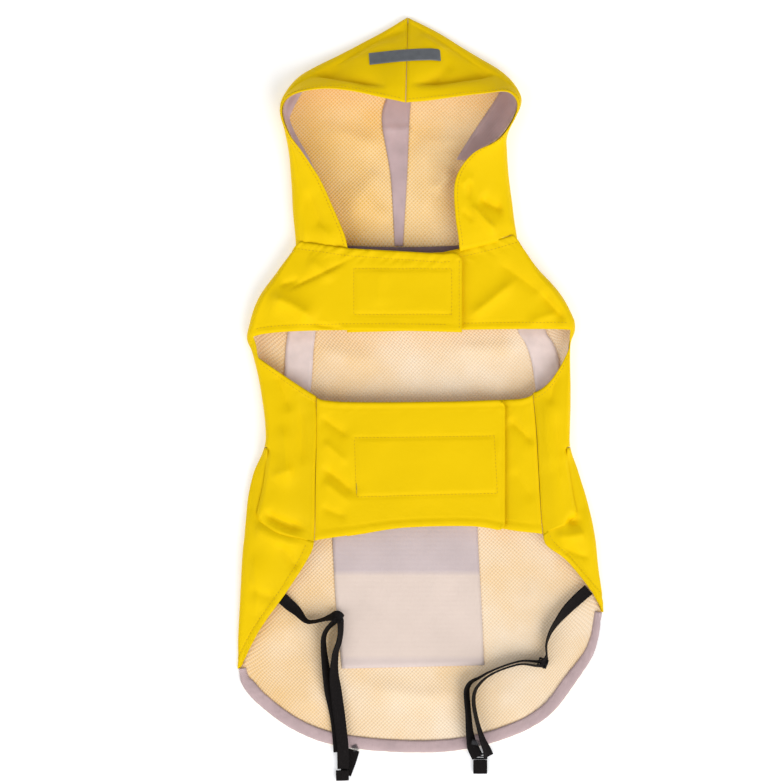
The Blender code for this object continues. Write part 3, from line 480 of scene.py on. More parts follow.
def seam_dip(away, depth=0.7, width=1.6):
    """How far cloth turns in towards a sewn edge."""
    return -depth * math.exp(-((away / width) ** 2)) if away >= 0 else 0.0


# The wrapped sides of the coat

class Side:
    """One side's wrapped surface, from the back's side seam round the fold to the top layer's end."""

    def __init__(self, name, inward, fold, seam, chest, rear):
        self.name, self.inward, self.fold, self.seam = name, inward, fold, seam
        self.chest, self.rear = chest, rear
        self.creases, self.rear_creases = Creases(name), Creases("rear " + name)
        self.seed = 3.1 if inward > 0 else 7.7

    def floor_edge(self, v):
        """Where the floor ends and the fold's curve starts."""
        fold = self.fold.at(v)
        return Vector((fold.x + self.inward * fold.round, fold.y, SHELL / 2))

    def bend_and_end(self, v):
        if v <= SLOT_TOP:
            return [rows.at(v) for rows in self.chest]
        if v >= SLOT_END:
            return [rows.at(v) for rows in self.rear]
        turned = smooth((v - SLOT_TOP) / (SLOT_END - SLOT_TOP))
        pairs = zip(self.chest, self.rear)
        return [blend(before.at(SLOT_TOP), after.at(SLOT_END), turned) for before, after in pairs]

    def point(self, u, v):
        if u <= U_FLOOR:
            return floor_point(self, u / U_FLOOR, v)
        bend, end = self.bend_and_end(v)
        here = wrapped(u, self.fold.at(v), self.inward, Vector((bend.x, bend.y)), end)
        here.y += neck_rise(here.x, u) * (1 - smooth(v / COAT_NECK_END))
        return here

    def relief(self, spot):
        """How far the cloth stands out from its plain surface."""
        if spot.u < U_FLOOR:
            return -back_swell(spot.x, spot.y) * (1 - smooth((spot.u / U_FLOOR - 0.75) * 4))
        on_top = smooth((spot.u - U_TOP + 0.05) / 0.1)
        height = swell(spot.x, spot.y, self.seed, 0.5) * smooth((spot.u - U_FLOOR) / 0.12)
        if spot.v < TROUGH:
            height += on_top * self.creases.height(spot.x, spot.y)
        return height + on_top * self.rear_creases.height(spot.x, spot.y)


def back_swell(x, y):
    """How far the back lifts off the floor: never below it."""
    return max(0.0, BACK_CREASES.height(x, y) + swell(x, y, 5.0, 0.5)) * 0.8


def neck_rise(x, u):
    """How far the neck seam climbs towards each fold, on top of the chest."""
    climbs = [slope * (x - start) for start, slope in NECK_CLIMBS]
    return max(0.0, *climbs) * smooth((u - U_OUTLINE) / (U_TOP - U_OUTLINE))


def round_the_fold(u, edge, below, above, high):
    """A point on the fold's curve, which reaches in by below on the floor and by above on top."""
    angle = math.pi * ((u - U_FLOOR) / (U_TOP - U_FLOOR) - 0.5)
    flat = edge + (below if angle < 0 else above) * (1 - math.cos(angle))
    low = SHELL / 2
    return Vector((flat.x, flat.y, (low + high) / 2 + (high - low) / 2 * math.sin(angle)))


def wrapped(u, fold, inward, bend, end):
    """A point round the fold or on the top layer, of one cross line."""
    edge = Vector((fold.x, fold.y))
    toward = bend - edge
    toward = toward.normalized() if toward.length > 0.01 else Vector((inward, 0.0))
    if u < U_TOP:
        below = Vector((inward * fold.round, 0.0))
        return round_the_fold(u, edge, below, toward * fold.lap, fold.high)
    t = (u - U_TOP) / (1 - U_TOP)
    top = edge + toward * fold.lap
    flat = top * (1 - t) ** 2 + bend * 2 * t * (1 - t) + Vector((end.x, end.y)) * t * t
    return Vector((flat.x, flat.y, fold.high + (end.z - fold.high) * smooth(t / SETTLE)))


def seam_share(side, v):
    """How far the side seam lies across the floor, from this side's fold (0) to the other's (1)."""
    other = RIGHT if side is LEFT else LEFT
    here, there = side.floor_edge(v), other.floor_edge(v)
    return (side.seam.at(v).x - here.x) / (there.x - here.x)


def across_floor(share, v):
    """A floor point, at a share from the left fold (0) to the right one (1)."""
    above = min(v, CORNER)
    row = LEFT.floor_edge(above).lerp(RIGHT.floor_edge(above), share)
    if v <= CORNER:
        return row
    edge = REAR_HEM.share(share)
    return row.lerp(Vector((edge.x, edge.y, SHELL / 2)), (v - CORNER) / (HEM - CORNER))


def between_seams(share, v):
    """A point of the back between its side seams, at a share from the left one to the right one."""
    low = seam_share(LEFT, min(v, CORNER))
    high = 1 - seam_share(RIGHT, min(v, CORNER))
    return across_floor(low + (high - low) * share, v)


def floor_point(side, t, v):
    """A point on the floor between the side seam (t = 0) and the fold (t = 1)."""
    share = seam_share(side, min(v, CORNER)) * (1 - t)
    return across_floor(share if side is LEFT else 1 - share, v)


BACK_CREASES = Creases("back")
LEFT = Side(
    "left", 1, LEFT_FOLD, LEFT_SEAM, (LEFT_CHEST_BEND, LEFT_CHEST_END), (LEFT_BEND, LEFT_END)
)
RIGHT = Side(
    "right", -1, RIGHT_FOLD, RIGHT_SEAM, (RIGHT_CHEST_BEND, RIGHT_CHEST_END), (RIGHT_BEND, RIGHT_END)
)


class Hood:
    """One half of the hood, from the centre seam on the floor round its outline to the face opening."""

    def __init__(self, name, fold, rim, inward):
        self.name, self.fold, self.rim, self.inward = name, fold, rim, inward
        self.crown, self.cheek = Creases("crown " + name), Creases("cheek " + name)
        self.back = Creases("hood back " + name)
        self.seed = 1.7 if inward > 0 else 6.4

    def point(self, u, v):
        fold, rim, seam = self.fold.at(v), self.rim.at(v), HOOD_SEAM.at(v)
        start = Vector((seam.x - self.inward * GAP / 2, seam.y))
        end = Vector((rim.x, rim.y))
        edge = Vector((fold.x, fold.y))
        below, above = start - edge, end - edge
        below = below.normalized() * min(fold.round, below.length * FOLD_SHARE)
        above = above.normalized() * min(fold.lap, above.length * FOLD_SHARE)
        high = min(fold.high, rim.z)
        if u <= U_FLOOR:
            flat = start.lerp(edge + below, u / U_FLOOR)
            return Vector((flat.x, flat.y, SHELL / 2))
        if u < U_TOP:
            here = round_the_fold(u, edge, below, above, high)
        else:
            t = (u - U_TOP) / (1 - U_TOP)
            flat = (edge + above).lerp(end, t)
            here = Vector((flat.x, flat.y, high + (rim.z - high) * math.sin(t * math.pi / 2)))
        here.y += neck_rise(here.x, u) * (1 - smooth(v / HOOD_NECK_END))
        return here

    def relief(self, spot):
        if spot.u < U_FLOOR:
            lifted = max(0.0, self.back.height(spot.x, spot.y) + swell(spot.x, spot.y, 2.0, 0.7))
            return -lifted * (1 - smooth((spot.u / U_FLOOR - 0.8) * 5)) * smooth(spot.u / 0.02)
        on_top = smooth((spot.u - U_TOP + 0.02) / 0.08)
        creases = self.crown if spot.v > 0.5 else self.cheek
        height = swell(spot.x, spot.y, self.seed, 0.5) * smooth((spot.u - U_FLOOR) / 0.12)
        return height + on_top * creases.height(spot.x, spot.y)


HOOD_LEFT = Hood("left", HOOD_LEFT_FOLD, HOOD_LEFT_RIM, 1)
HOOD_RIGHT = Hood("right", HOOD_RIGHT_FOLD, HOOD_RIGHT_RIM, -1)


# Cloth grids

Spot = namedtuple("Spot", "u v x y column row across down")


class Sheet:
    """Cloth as a grid: its places across (us) and down (vs), and the lengths along it in mm.
    Lengths across start at the column nearest u = zero. Normals point to the wearer's side."""

    def __init__(self, us, vs, place, zero=0.0):
        self.us, self.vs = us, vs
        self.bm = bmesh.new()
        bmesh.ops.create_grid(self.bm, x_segments=len(us) - 1, y_segments=len(vs) - 1, size=1)
        self.verts = {}
        for vert in self.bm.verts:
            column = round((vert.co.x + 1) / 2 * (len(us) - 1))
            row = round((vert.co.y + 1) / 2 * (len(vs) - 1))
            self.verts[column, row] = vert
            vert.co = place(us[column], vs[row])
        self.measure(min(range(len(us)), key=lambda i: abs(us[i] - zero)))
        self.bm.normal_update()
        lowest = min(self.bm.faces, key=lambda face: face.calc_center_median().z)
        if lowest.normal.z < 0:
            bmesh.ops.reverse_faces(self.bm, faces=self.bm.faces)
        self.bm.normal_update()

    def measure(self, zero):
        self.spots = {}
        downs = [0.0] * len(self.us)
        for row, v in enumerate(self.vs):
            runs = [0.0]
            for column in range(1, len(self.us)):
                apart = self.verts[column, row].co - self.verts[column - 1, row].co
                runs.append(runs[-1] + apart.length)
            for column, u in enumerate(self.us):
                here = self.verts[column, row].co
                if row:
                    downs[column] += (here - self.verts[column, row - 1].co).length
                across = runs[column] - runs[zero]
                self.spots[column, row] = Spot(u, v, here.x, here.y, column, row, across, downs[column])

    def below(self, spot, v):
        """The length down the cloth from the row at v to a spot."""
        return spot.down - self.spots[spot.column, self.vs.index(v)].down

    def beyond(self, spot, u):
        """The length across the cloth from the column at u to a spot."""
        return spot.across - self.spots[self.us.index(u), spot.row].across

    def raise_by(self, height):
        """Moves the cloth outwards, away from the wearer."""
        for at, vert in self.verts.items():
            vert.co -= vert.normal * height(self.spots[at])
        self.bm.normal_update()
        return self

    def lift(self, height):
        """Moves the cloth straight up."""
        for at, vert in self.verts.items():
            vert.co.z += height(self.spots[at])
        self.bm.normal_update()
        return self

    def move_in(self, distance):
        for vert in self.verts.values():
            vert.co += vert.normal * distance
        self.bm.normal_update()
        return self

    def round_corner(self, u, v, radius):
        """Rounds the corner at (u, v), by drawing the cloth near it into a quarter circle."""
        for at, vert in self.verts.items():
            spot = self.spots[at]
            aside, down = abs(self.beyond(spot, u)), abs(self.below(spot, v))
            if aside > radius or down > radius:
                continue
            reach = Vector((radius - aside, radius - down))
            if reach.length < 0.001:
                continue
            share = max(reach) / reach.length
            hub = self.corner_hub(at, u, v, aside, down, radius)
            vert.co = hub + (vert.co - hub) * share
        return self

    def corner_hub(self, at, u, v, aside, down, radius):
        """The centre of a rounded corner's quarter circle, worked out from a vertex near it."""
        across = self.onward(at, (1, 0)) * (-1 if u == self.us[-1] else 1)
        along = self.onward(at, (0, 1)) * (-1 if v == self.vs[-1] else 1)
        return self.verts[at].co + across * (radius - aside) + along * (radius - down)

    def onward(self, at, step):
        """The direction across (1, 0) or down (0, 1) the cloth at a vertex."""
        sign = 1 if (at[0] + step[0], at[1] + step[1]) in self.verts else -1
        other = self.verts[at[0] + sign * step[0], at[1] + sign * step[1]]
        return (other.co - self.verts[at].co).normalized() * sign

    def cut(self, keep):
        """Drops the cells that keep(u, v) refuses at their middles."""
        self.lay_uvs()
        places = {vert: self.spots[at] for at, vert in self.verts.items()}
        dropped = []
        for face in self.bm.faces:
            corners = [places[vert] for vert in face.verts]
            u, v = sum(c.u for c in corners) / 4, sum(c.v for c in corners) / 4
            if not keep(u, v):
                dropped.append(face)
        bmesh.ops.delete(self.bm, geom=dropped, context="FACES")
        return self

    def lay_uvs(self):
        if self.bm.loops.layers.uv:
            return
        layer = self.bm.loops.layers.uv.new("cloth")
        places = {vert: self.spots[at] for at, vert in self.verts.items()}
        for face in self.bm.faces:
            for loop in face.loops:
                spot = places[loop.vert]
                loop[layer].uv = (spot.across * MM, -spot.down * MM)

    def tree(self):
        return BVHTree.FromBMesh(self.bm)

    def walk(self, starts, step, away, inset):
        """The points and outward normals at a distance from a row or a column, walked to from
        each start on it. away gives a spot's own distance."""
        found = []
        for at in starts:
            ahead = (at[0] + step[0], at[1] + step[1])
            while ahead in self.spots and abs(away(self.spots[ahead])) < abs(inset):
                at, ahead = ahead, (ahead[0] + step[0], ahead[1] + step[1])
            if ahead in self.spots:
                near, far = abs(away(self.spots[at])), abs(away(self.spots[ahead]))
                t = (abs(inset) - near) / (far - near)
                a, b = self.verts[at], self.verts[ahead]
                found.append((a.co.lerp(b.co, t), -a.normal.lerp(b.normal, t)))
        return found

    def beside_row(self, v, inset, first=0.0, last=1.0):
        """A line across the cloth at a distance down from the row at v, or up where it is negative."""
        row = self.vs.index(v)
        starts = [(column, row) for column, u in enumerate(self.us) if first <= u <= last]
        return self.walk(starts, (0, 1 if inset > 0 else -1), lambda spot: self.below(spot, v), inset)

    def beside_column(self, u, inset, first=0.0, last=1.0):
        """A line down the cloth at a distance across from the column at u."""
        column = self.us.index(u)
        starts = [(column, row) for row, v in enumerate(self.vs) if first <= v <= last]
        return self.walk(starts, (1 if inset > 0 else -1, 0), lambda spot: self.beyond(spot, u), inset)

    def size(self):
        """Width, length and area of the cloth laid out flat, in metres."""
        columns, rows = [0.0] * len(self.us), [0.0] * len(self.vs)
        for (column, row), vert in self.verts.items():
            for step in ((1, 0), (0, 1)):
                other = self.verts.get((column + step[0], row + step[1]))
                if other is None or not (vert.is_valid and other.is_valid):
                    continue
                edge = self.bm.edges.get((vert, other))
                if edge is None or not edge.link_faces:
                    continue
                if step[0]:
                    rows[row] += edge.calc_length()
                else:
                    columns[column] += edge.calc_length()
        area = sum(face.calc_area() for face in self.bm.faces)
        return max(rows) * MM, max(columns) * MM, area * MM * MM


# Finishes

class Wire:
    """A socket of a finish's nodes, on which arithmetic adds Math nodes."""

    def __init__(self, finish, socket):
        self.finish, self.socket = finish, socket

    def math(self, operation, *values):
        return self.finish.node("ShaderNodeMath", {"operation": operation}, *values)

    def __add__(self, other):
        return self.math("ADD", self, other)

    def __sub__(self, other):
        return self.math("SUBTRACT", self, other)

    def __rsub__(self, other):
        return self.math("SUBTRACT", other, self)

    def __mul__(self, other):
        return self.math("MULTIPLY", self, other)

    def sine(self):
        return self.math("SINE", self)

    def ribs(self, pitch):
        """Even ribs across a length in metres."""
        return (self * (2 * math.pi / pitch)).sine()

    def clamped(self, low, high):
        """How far the value lies from low (0) to high (1)."""
        return self.finish.node("ShaderNodeMapRange", {"clamp": True}, self, low, high, 0.0, 1.0)

    __radd__ = __add__
    __rmul__ = __mul__


class Finish:
    """A material and the nodes that make it."""

    def __init__(self, name, roughness, metallic=0.0, sheen=0.0, specular=0.5):
        self.material = bpy.data.materials.new(name)
        self.material.use_nodes = True
        self.tree = self.material.node_tree
        self.shader = self.tree.nodes["Principled BSDF"]
        self.shader.inputs["Roughness"].default_value = roughness
        self.shader.inputs["Metallic"].default_value = metallic
        self.shader.inputs["Sheen Weight"].default_value = sheen
        self.shader.inputs["Specular IOR Level"].default_value = specular
        self.coordinates = self.tree.nodes.new("ShaderNodeTexCoord")

    def node(self, kind, settings, *values, out=0):
        made = self.tree.nodes.new(kind)
        for setting, value in settings.items():
            setattr(made, setting, value)
        sockets = [socket for socket in made.inputs if socket.enabled]
        for socket, value in zip(sockets, values):
            self.feed(socket, value)
        outputs = [socket for socket in made.outputs if socket.enabled]
        return Wire(self, outputs[out])

    def feed(self, socket, value):
        if isinstance(value, Wire):
            self.tree.links.new(value.socket, socket)
        elif value is not None:
            socket.default_value = value

    def set(self, name, value):
        self.feed(self.shader.inputs[name], value)

    def place(self, own_uv=False):
        """Object coordinates in metres, or the cloth's own lengths across and down."""
        return Wire(self, self.coordinates.outputs["UV" if own_uv else "Object"])

    def axes(self, place):
        split = self.tree.nodes.new("ShaderNodeSeparateXYZ")
        self.tree.links.new(place.socket, split.inputs[0])
        return Wire(self, split.outputs[0]), Wire(self, split.outputs[1])

    def cloud(self, place, per_metre, detail=2.0):
        """Soft noise from 0 to 1."""
        return self.node("ShaderNodeTexNoise", {}, place, per_metre, detail)

    def mix(self, share, low, high):
        return self.node("ShaderNodeMix", {"data_type": "RGBA"}, share, low, high)

    def bump(self, height, distance, strength=1.0, over=None):
        made = self.tree.nodes.new("ShaderNodeBump")
        made.inputs["Strength"].default_value = strength
        made.inputs["Distance"].default_value = distance
        self.feed(made.inputs["Height"], height)
        if over:
            self.feed(made.inputs["Normal"], over)
        return Wire(self, made.outputs[0])


def shade(colour, factor):
    return tuple(part * factor for part in colour[:3]) + (1.0,)


YELLOW = (0.90, 0.60, 0.0005, 1.0)
LILAC = (0.60, 0.445, 0.45, 1.0)
# The lilac tape darkened as painted shade, for the neck binding that lies under the chest flap and
# hood.
SHADED_LILAC = (0.25, 0.18, 0.20, 1.0)
PALE_LILAC = (0.94, 0.77, 0.72, 1.0)
PEACH = (0.98, 0.80, 0.60, 1.0)
PINKISH = (0.80, 0.66, 0.58, 1.0)
# The yellow cloth's reverse as seen through the lining's holes, darker and more orange as painted
# shade.
SHADED_YELLOW_THROUGH_HOLES = (0.84, 0.44, 0.03, 1.0)


def coated_cloth():
    """Yellow cloth with a satin coating: a close plain weave under fine crumpling."""
    made = Finish("coated_yellow_cloth", 0.5, specular=0.06)
    uv = made.place(own_uv=True)
    x, y = made.axes(uv)
    weave = x.ribs(0.0011) * y.ribs(0.0011)
    crumple = made.cloud(made.place(), 95.0, 4.0)
    soft = made.cloud(made.place(), 22.0, 2.0)
    patches = made.cloud(made.place(), 11.0, 3.0)
    made.set("Base Color", made.mix(patches.clamped(0.3, 0.72), shade(YELLOW, 0.955), YELLOW))
    made.set("Roughness", crumple.clamped(0.2, 0.8) * 0.14 + 0.43)
    folds = made.bump(soft, 0.0016, 0.5)
    creased = made.bump(crumple, 0.0006, 0.35, folds)
    made.set("Normal", made.bump(weave, 0.00012, 0.5, creased))
    return made.material


def mesh_lining(name, hole_share, thread, left_shade_span, shaded_hole=SHADED_YELLOW_THROUGH_HOLES, pitch=0.0033):
    """Open diagonal mesh, with the yellow cloth showing through its holes, more so in random patches
    where it lies close on the cloth, and more orange towards the left as painted shade. The span after
    the thread colour gives the two places across (in metres) over which that painted shade comes in."""
    made = Finish(name, 0.85, sheen=0.05, specular=0.15)
    uv = made.place(own_uv=True)
    x, y = made.axes(uv)
    turn = 2 * math.pi / pitch
    drift = made.cloud(uv, 130.0, 2.0) * 1.6
    net = (x * turn + drift).sine() * (y * turn + drift).sine()
    holes = net.clamped(0.0, 0.6)
    sideways, _ = made.axes(made.place())
    patches = made.cloud(made.place(), 17.0, 3.0).clamped(0.36, 0.66)
    # How far the holes and threads turn orange: random patches where the mesh lies close, plus painted
    # shade growing towards the left.
    near = patches * 0.55 + sideways.clamped(*left_shade_span) * 0.45
    # The holes show the yellow behind the mesh in painted shade.
    depth = holes * (near * 0.5 * hole_share + 0.25 * hole_share)
    close = tuple(a * 0.4 + b * 0.6 for a, b in zip(thread, shaded_hole))
    made.set("Base Color", made.mix(depth, made.mix(near * 0.8, thread, close), shaded_hole))
    soft = made.bump(made.cloud(made.place(), 30.0, 3.0), 0.0012, 0.4)
    made.set("Normal", made.bump(net, 0.0004, 0.55, soft))
    return made.material


def ribbed_tape(name, colour, roughness=0.7):
    """Woven tape with close ribs across it and a little unevenness of colour."""
    made = Finish(name, roughness, sheen=0.1, specular=0.3)
    uv = made.place(own_uv=True)
    x, y = made.axes(uv)
    ribs, cross = y.ribs(0.0014), x.ribs(0.0011)
    patches = made.cloud(made.place(), 60.0, 3.0).clamped(0.3, 0.7)
    tint = made.mix(patches, shade(colour, 0.86), shade(colour, 1.04))
    gaps = (ribs * cross).clamped(0.3, 1.0) * 0.3
    made.set("Base Color", made.mix(gaps, tint, shade(colour, 0.74)))
    soft = made.bump(patches, 0.0007, 0.5)
    made.set("Normal", made.bump(ribs * cross, 0.00025, 0.6, soft))
    return made.material


def backing_cloth():
    """Thin backing, pinkish in its middle and greyer where it is doubled at its ends."""
    made = Finish("pocket_backing_cloth", 0.72, sheen=0.1, specular=0.3)
    uv = made.place(own_uv=True)
    x, y = made.axes(uv)
    _, along = made.axes(made.place())
    net = (x + y).ribs(0.0022) * (x - y).ribs(0.0022)
    top = along.clamped(-0.153, -0.148)
    low = 1 - along.clamped(-0.225, -0.221)
    patches = made.cloud(made.place(), 24.0, 3.0).clamped(0.3, 0.7)
    middle = made.mix(patches, shade(PINKISH, 0.97), shade(PINKISH, 1.04))
    greyer = made.mix(patches, (0.60, 0.50, 0.50, 1.0), (0.67, 0.56, 0.56, 1.0))
    ground = made.mix((top + low * 0.45).clamped(0.0, 1.0), middle, greyer)
    made.set("Base Color", made.mix(net.clamped(0.2, 0.9) * 0.16, ground, (0.62, 0.42, 0.30, 1.0)))
    made.set("Normal", made.bump(net, 0.0003, 0.4, made.bump(patches, 0.001, 0.5)))
    return made.material


def reflective_tape():
    """Grey reflective tape: a fine grid of cells under a satin face."""
    made = Finish("reflective_grey_tape", 0.42, metallic=0.25, specular=0.5)
    x, y = made.axes(made.place())
    cells = x.ribs(0.0016) * y.ribs(0.0016)
    patches = made.cloud(made.place(), 180.0, 3.0).clamped(0.3, 0.7)
    made.set("Base Color", made.mix(patches, (0.118, 0.128, 0.140, 1.0), (0.150, 0.160, 0.175, 1.0)))
    made.set("Roughness", cells.clamped(-1.0, 1.0) * 0.12 + 0.36)
    made.set("Normal", made.bump(cells, 0.00012, 0.5))
    return made.material


def black_elastic():
    """Knitted black elastic: ribs along its length crossed by fine rows."""
    made = Finish("black_elastic", 0.8, specular=0.12)
    x, y = made.axes(made.place(own_uv=True))
    ribs, rows = x.ribs(0.00125), y.ribs(0.0011)
    lint = made.cloud(made.place(), 700.0, 2.0).clamped(0.55, 0.8)
    deep, lit = (0.006, 0.005, 0.005, 1.0), (0.017, 0.013, 0.013, 1.0)
    ground = made.mix((ribs * rows).clamped(-0.4, 1.0), deep, lit)
    made.set("Base Color", made.mix(lint * 0.2, ground, (0.05, 0.044, 0.044, 1.0)))
    made.set("Normal", made.bump(ribs + rows * 0.5, 0.00022, 0.8))
    return made.material


def moulded_plastic():
    """Black moulded plastic with a fine grain, lighter where it is rubbed on the grain's high points.
    """
    made = Finish("black_plastic", 0.5, specular=0.12)
    grain = made.cloud(made.place(), 900.0, 3.0)
    deep, rubbed = (0.006, 0.006, 0.0065, 1.0), (0.016, 0.016, 0.017, 1.0)
    made.set("Base Color", made.mix(grain.clamped(0.45, 0.75), deep, rubbed))
    made.set("Roughness", grain.clamped(0.3, 0.8) * 0.2 + 0.38)
    made.set("Normal", made.bump(grain, 0.0001, 0.4))
    return made.material


def hook_and_loop():
    """Closure strip: a dense nap of tiny hooks and loops."""
    made = Finish("closure_nap", 0.9, sheen=0.3, specular=0.2)
    nap = made.cloud(made.place(), 1400.0, 2.0)
    # Painted shade deep in the nap and painted light on its tips.
    deep, lit_nap_tips = (0.45, 0.32, 0.02, 1.0), (0.72, 0.52, 0.05, 1.0)
    made.set("Base Color", made.mix(nap.clamped(0.35, 0.65), deep, lit_nap_tips))
    made.set("Normal", made.bump(nap, 0.0004, 0.9))
    return made.material


def sewing_thread(name, colour):
    """Twisted thread, with a painted highlight where its twist turns up."""
    made = Finish(name, 0.55, specular=0.4)
    twist_highlight = made.cloud(made.place(), 1500.0, 1.0).clamped(0.35, 0.65)
    made.set("Base Color", made.mix(twist_highlight, shade(colour, 0.75), colour))
    made.set("Normal", made.bump(twist_highlight, 0.0001, 0.4))
    return made.material


def plain_floor():
    """The surface's even white, a little self-lit so that it stays plain."""
    made = Finish("white_surface", 0.9, specular=0.1)
    faint = made.cloud(made.place(), 3.0, 2.0)
    darker, lighter = (0.93, 0.93, 0.94, 1.0), (0.95, 0.95, 0.955, 1.0)
    made.set("Base Color", made.mix(faint.clamped(0.3, 0.7), darker, lighter))
    made.set("Emission Color", (0.97, 0.98, 1.0, 1.0))
    made.set("Emission Strength", 0.22)
    return made.material


CLOTH = coated_cloth()
# The hood's lining is the mesh painted more orange, with more yellow showing, than the back's: painted
# shade and yellow bounce light inside the hood.
SHADED_HOOD_MESH = mesh_lining("hood_mesh_lining", 1.15, (0.98, 0.74, 0.43, 1.0), (0.02, -0.05))
BACK_MESH = mesh_lining("back_mesh_lining", 0.6, PEACH, (-0.02, -0.12))
TAPE_LILAC = ribbed_tape("lilac_binding", LILAC)
TAPE_PALE = ribbed_tape("pale_seam_tape", PALE_LILAC, 0.6)
TAPE_SHADED_LILAC = ribbed_tape("dark_binding", SHADED_LILAC)
BACKING = backing_cloth()
REFLECTIVE = reflective_tape()
BLACK_ELASTIC = black_elastic()
PLASTIC = moulded_plastic()
NAP = hook_and_loop()
# The yellow thread is darkened towards brown, as painted shade of the pressed lines its stitches lie
# in.
SHADED_YELLOW_THREAD = sewing_thread("yellow_thread", (0.66, 0.42, 0.003, 1.0))
GREY_THREAD = sewing_thread("grey_thread", (0.42, 0.40, 0.40, 1.0))
BLACK_THREAD = sewing_thread("black_thread", (0.05, 0.05, 0.055, 1.0))
LILAC_THREAD = sewing_thread("lilac_thread", (0.40, 0.31, 0.33, 1.0))


# Making the pieces

def in_scene(name, data):
    """An object in the scene, from a mesh, a camera or a lamp."""
    obj = bpy.data.objects.new(name, data)
    bpy.context.scene.collection.objects.link(obj)
    return obj


def finish(bm, name, material, thickness=None, node=None, edges=0.0):
    """A piece from a bmesh in millimetres, given its thickness about its middle."""
    bmesh.ops.scale(bm, vec=(MM, MM, MM), verts=bm.verts)
    mesh = bpy.data.meshes.new(name)
    bm.to_mesh(mesh)
    bm.free()
    mesh.shade_smooth()
    mesh.materials.append(material)
    obj = in_scene(name, mesh)
    if thickness:
        wall = obj.modifiers.new("Thickness", "SOLIDIFY")
        wall.thickness = thickness * MM
        wall.offset = 0
        wall.use_even_offset = False
    if edges:
        rounded = obj.modifiers.new("Rounded edges", "BEVEL")
        rounded.width = edges * MM
        rounded.segments = 2
        rounded.limit_method = "ANGLE"
    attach(obj, "root")
    if node:
        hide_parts(node)
    return obj


def cloth_piece(sheet, node, material, thickness, rests_on=(), turned=0.0):
    """A sheet of cloth that stands for a solid. The size it was cut to, which for a binding is wider
    than what shows by the edges turned under, is worked out but not passed on."""
    sheet.lay_uvs()
    width, length, area = sheet.size()
    if turned:
        narrow, long = sorted((width, length))
        width, length = narrow + turned * MM, long
        area = width * length
    obj = finish(sheet.bm, node + "_cloth", material, thickness, node)
    min(area, width * length)
    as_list(rests_on)
    return obj


def back_point(u, v):
    """The back's surface: between the side seams, and at u below 0 and above 1 round the sides."""
    if u <= 0:
        return LEFT.point(-u, v)
    if u >= 1:
        return RIGHT.point(u - 1, v)
    return between_seams(u, v)


def back_sheet(sides, first, notch, trough):
    """A sheet of the whole back, with the places of its sides' columns and of three of its rows."""
    us = [-u for u in reversed(sides)] + steps((0.02, 48), (0.98, 1)) + [1 + u for u in sides]
    vs = steps((first, 26), (SLOT_TOP, 5), (SLOT_END, 22), (notch, 18), (trough, 48), (CORNER, 34),
               (HEM, 1))
    return Sheet(us, vs, back_point, 0.5)


def back_panel():
    """The back, flat on the floor, with its sides wrapped up and over behind the side panels."""
    sides = steps((0.0, 7), (U_FLOOR, 14), (U_TOP, 26), (1.0, 1))
    opening = TROUGH + 0.001

    def keep(u, v):
        around = max(-u, u - 1)
        if around <= 0:
            return True
        if v < NOTCH:
            return False
        if v > CORNER:
            return around < U_FLOOR
        return around < U_TOP or v > TROUGH

    def height(spot):
        around = max(-spot.u, spot.u - 1)
        if around <= 0:
            lifted = -back_swell(spot.x, spot.y)
            return lifted + seam_dip(min(spot.u, 1 - spot.u) * 180, -0.6, 3.0) * (spot.v < NOTCH)
        side = LEFT if spot.u < 0 else RIGHT
        if spot.v > CORNER:
            return -back_swell(spot.x, spot.y)
        out = side.relief(spot._replace(u=around))
        if around > U_FLOOR:
            end = sheet.us[-1] if spot.u > 0 else sheet.us[0]
            out += hem(abs(sheet.beyond(spot, end)), spot.down, side.seed, 8.0) * (spot.v > TROUGH)
            tucked = smooth((around - U_FLOOR - 0.1) / 0.08) * (1 - smooth((around - U_TOP) / 0.36))
            near = math.exp(-max(sheet.below(spot, opening), 0.0) / 8.0)
            out -= 2.6 * tucked * near * smooth((spot.v - NOTCH) / 0.05)
        return out

    sheet = back_sheet(sides, NECK, NOTCH + 0.002, opening)
    sheet.raise_by(height)
    for end, inset in ((sheet.us[0], 6.6), (sheet.us[-1], -6.6)):
        STITCHES.add(sheet.beside_column(end, inset, TROUGH + 0.01, 0.985), SHELL_CLOTH)
    STITCHES.add(sheet.beside_row(HEM, -STITCH_INSET), SHELL_CLOTH)
    sheet.cut(keep)
    return cloth_piece(sheet, "back_panel", CLOTH, SHELL_CLOTH, ["surface"])


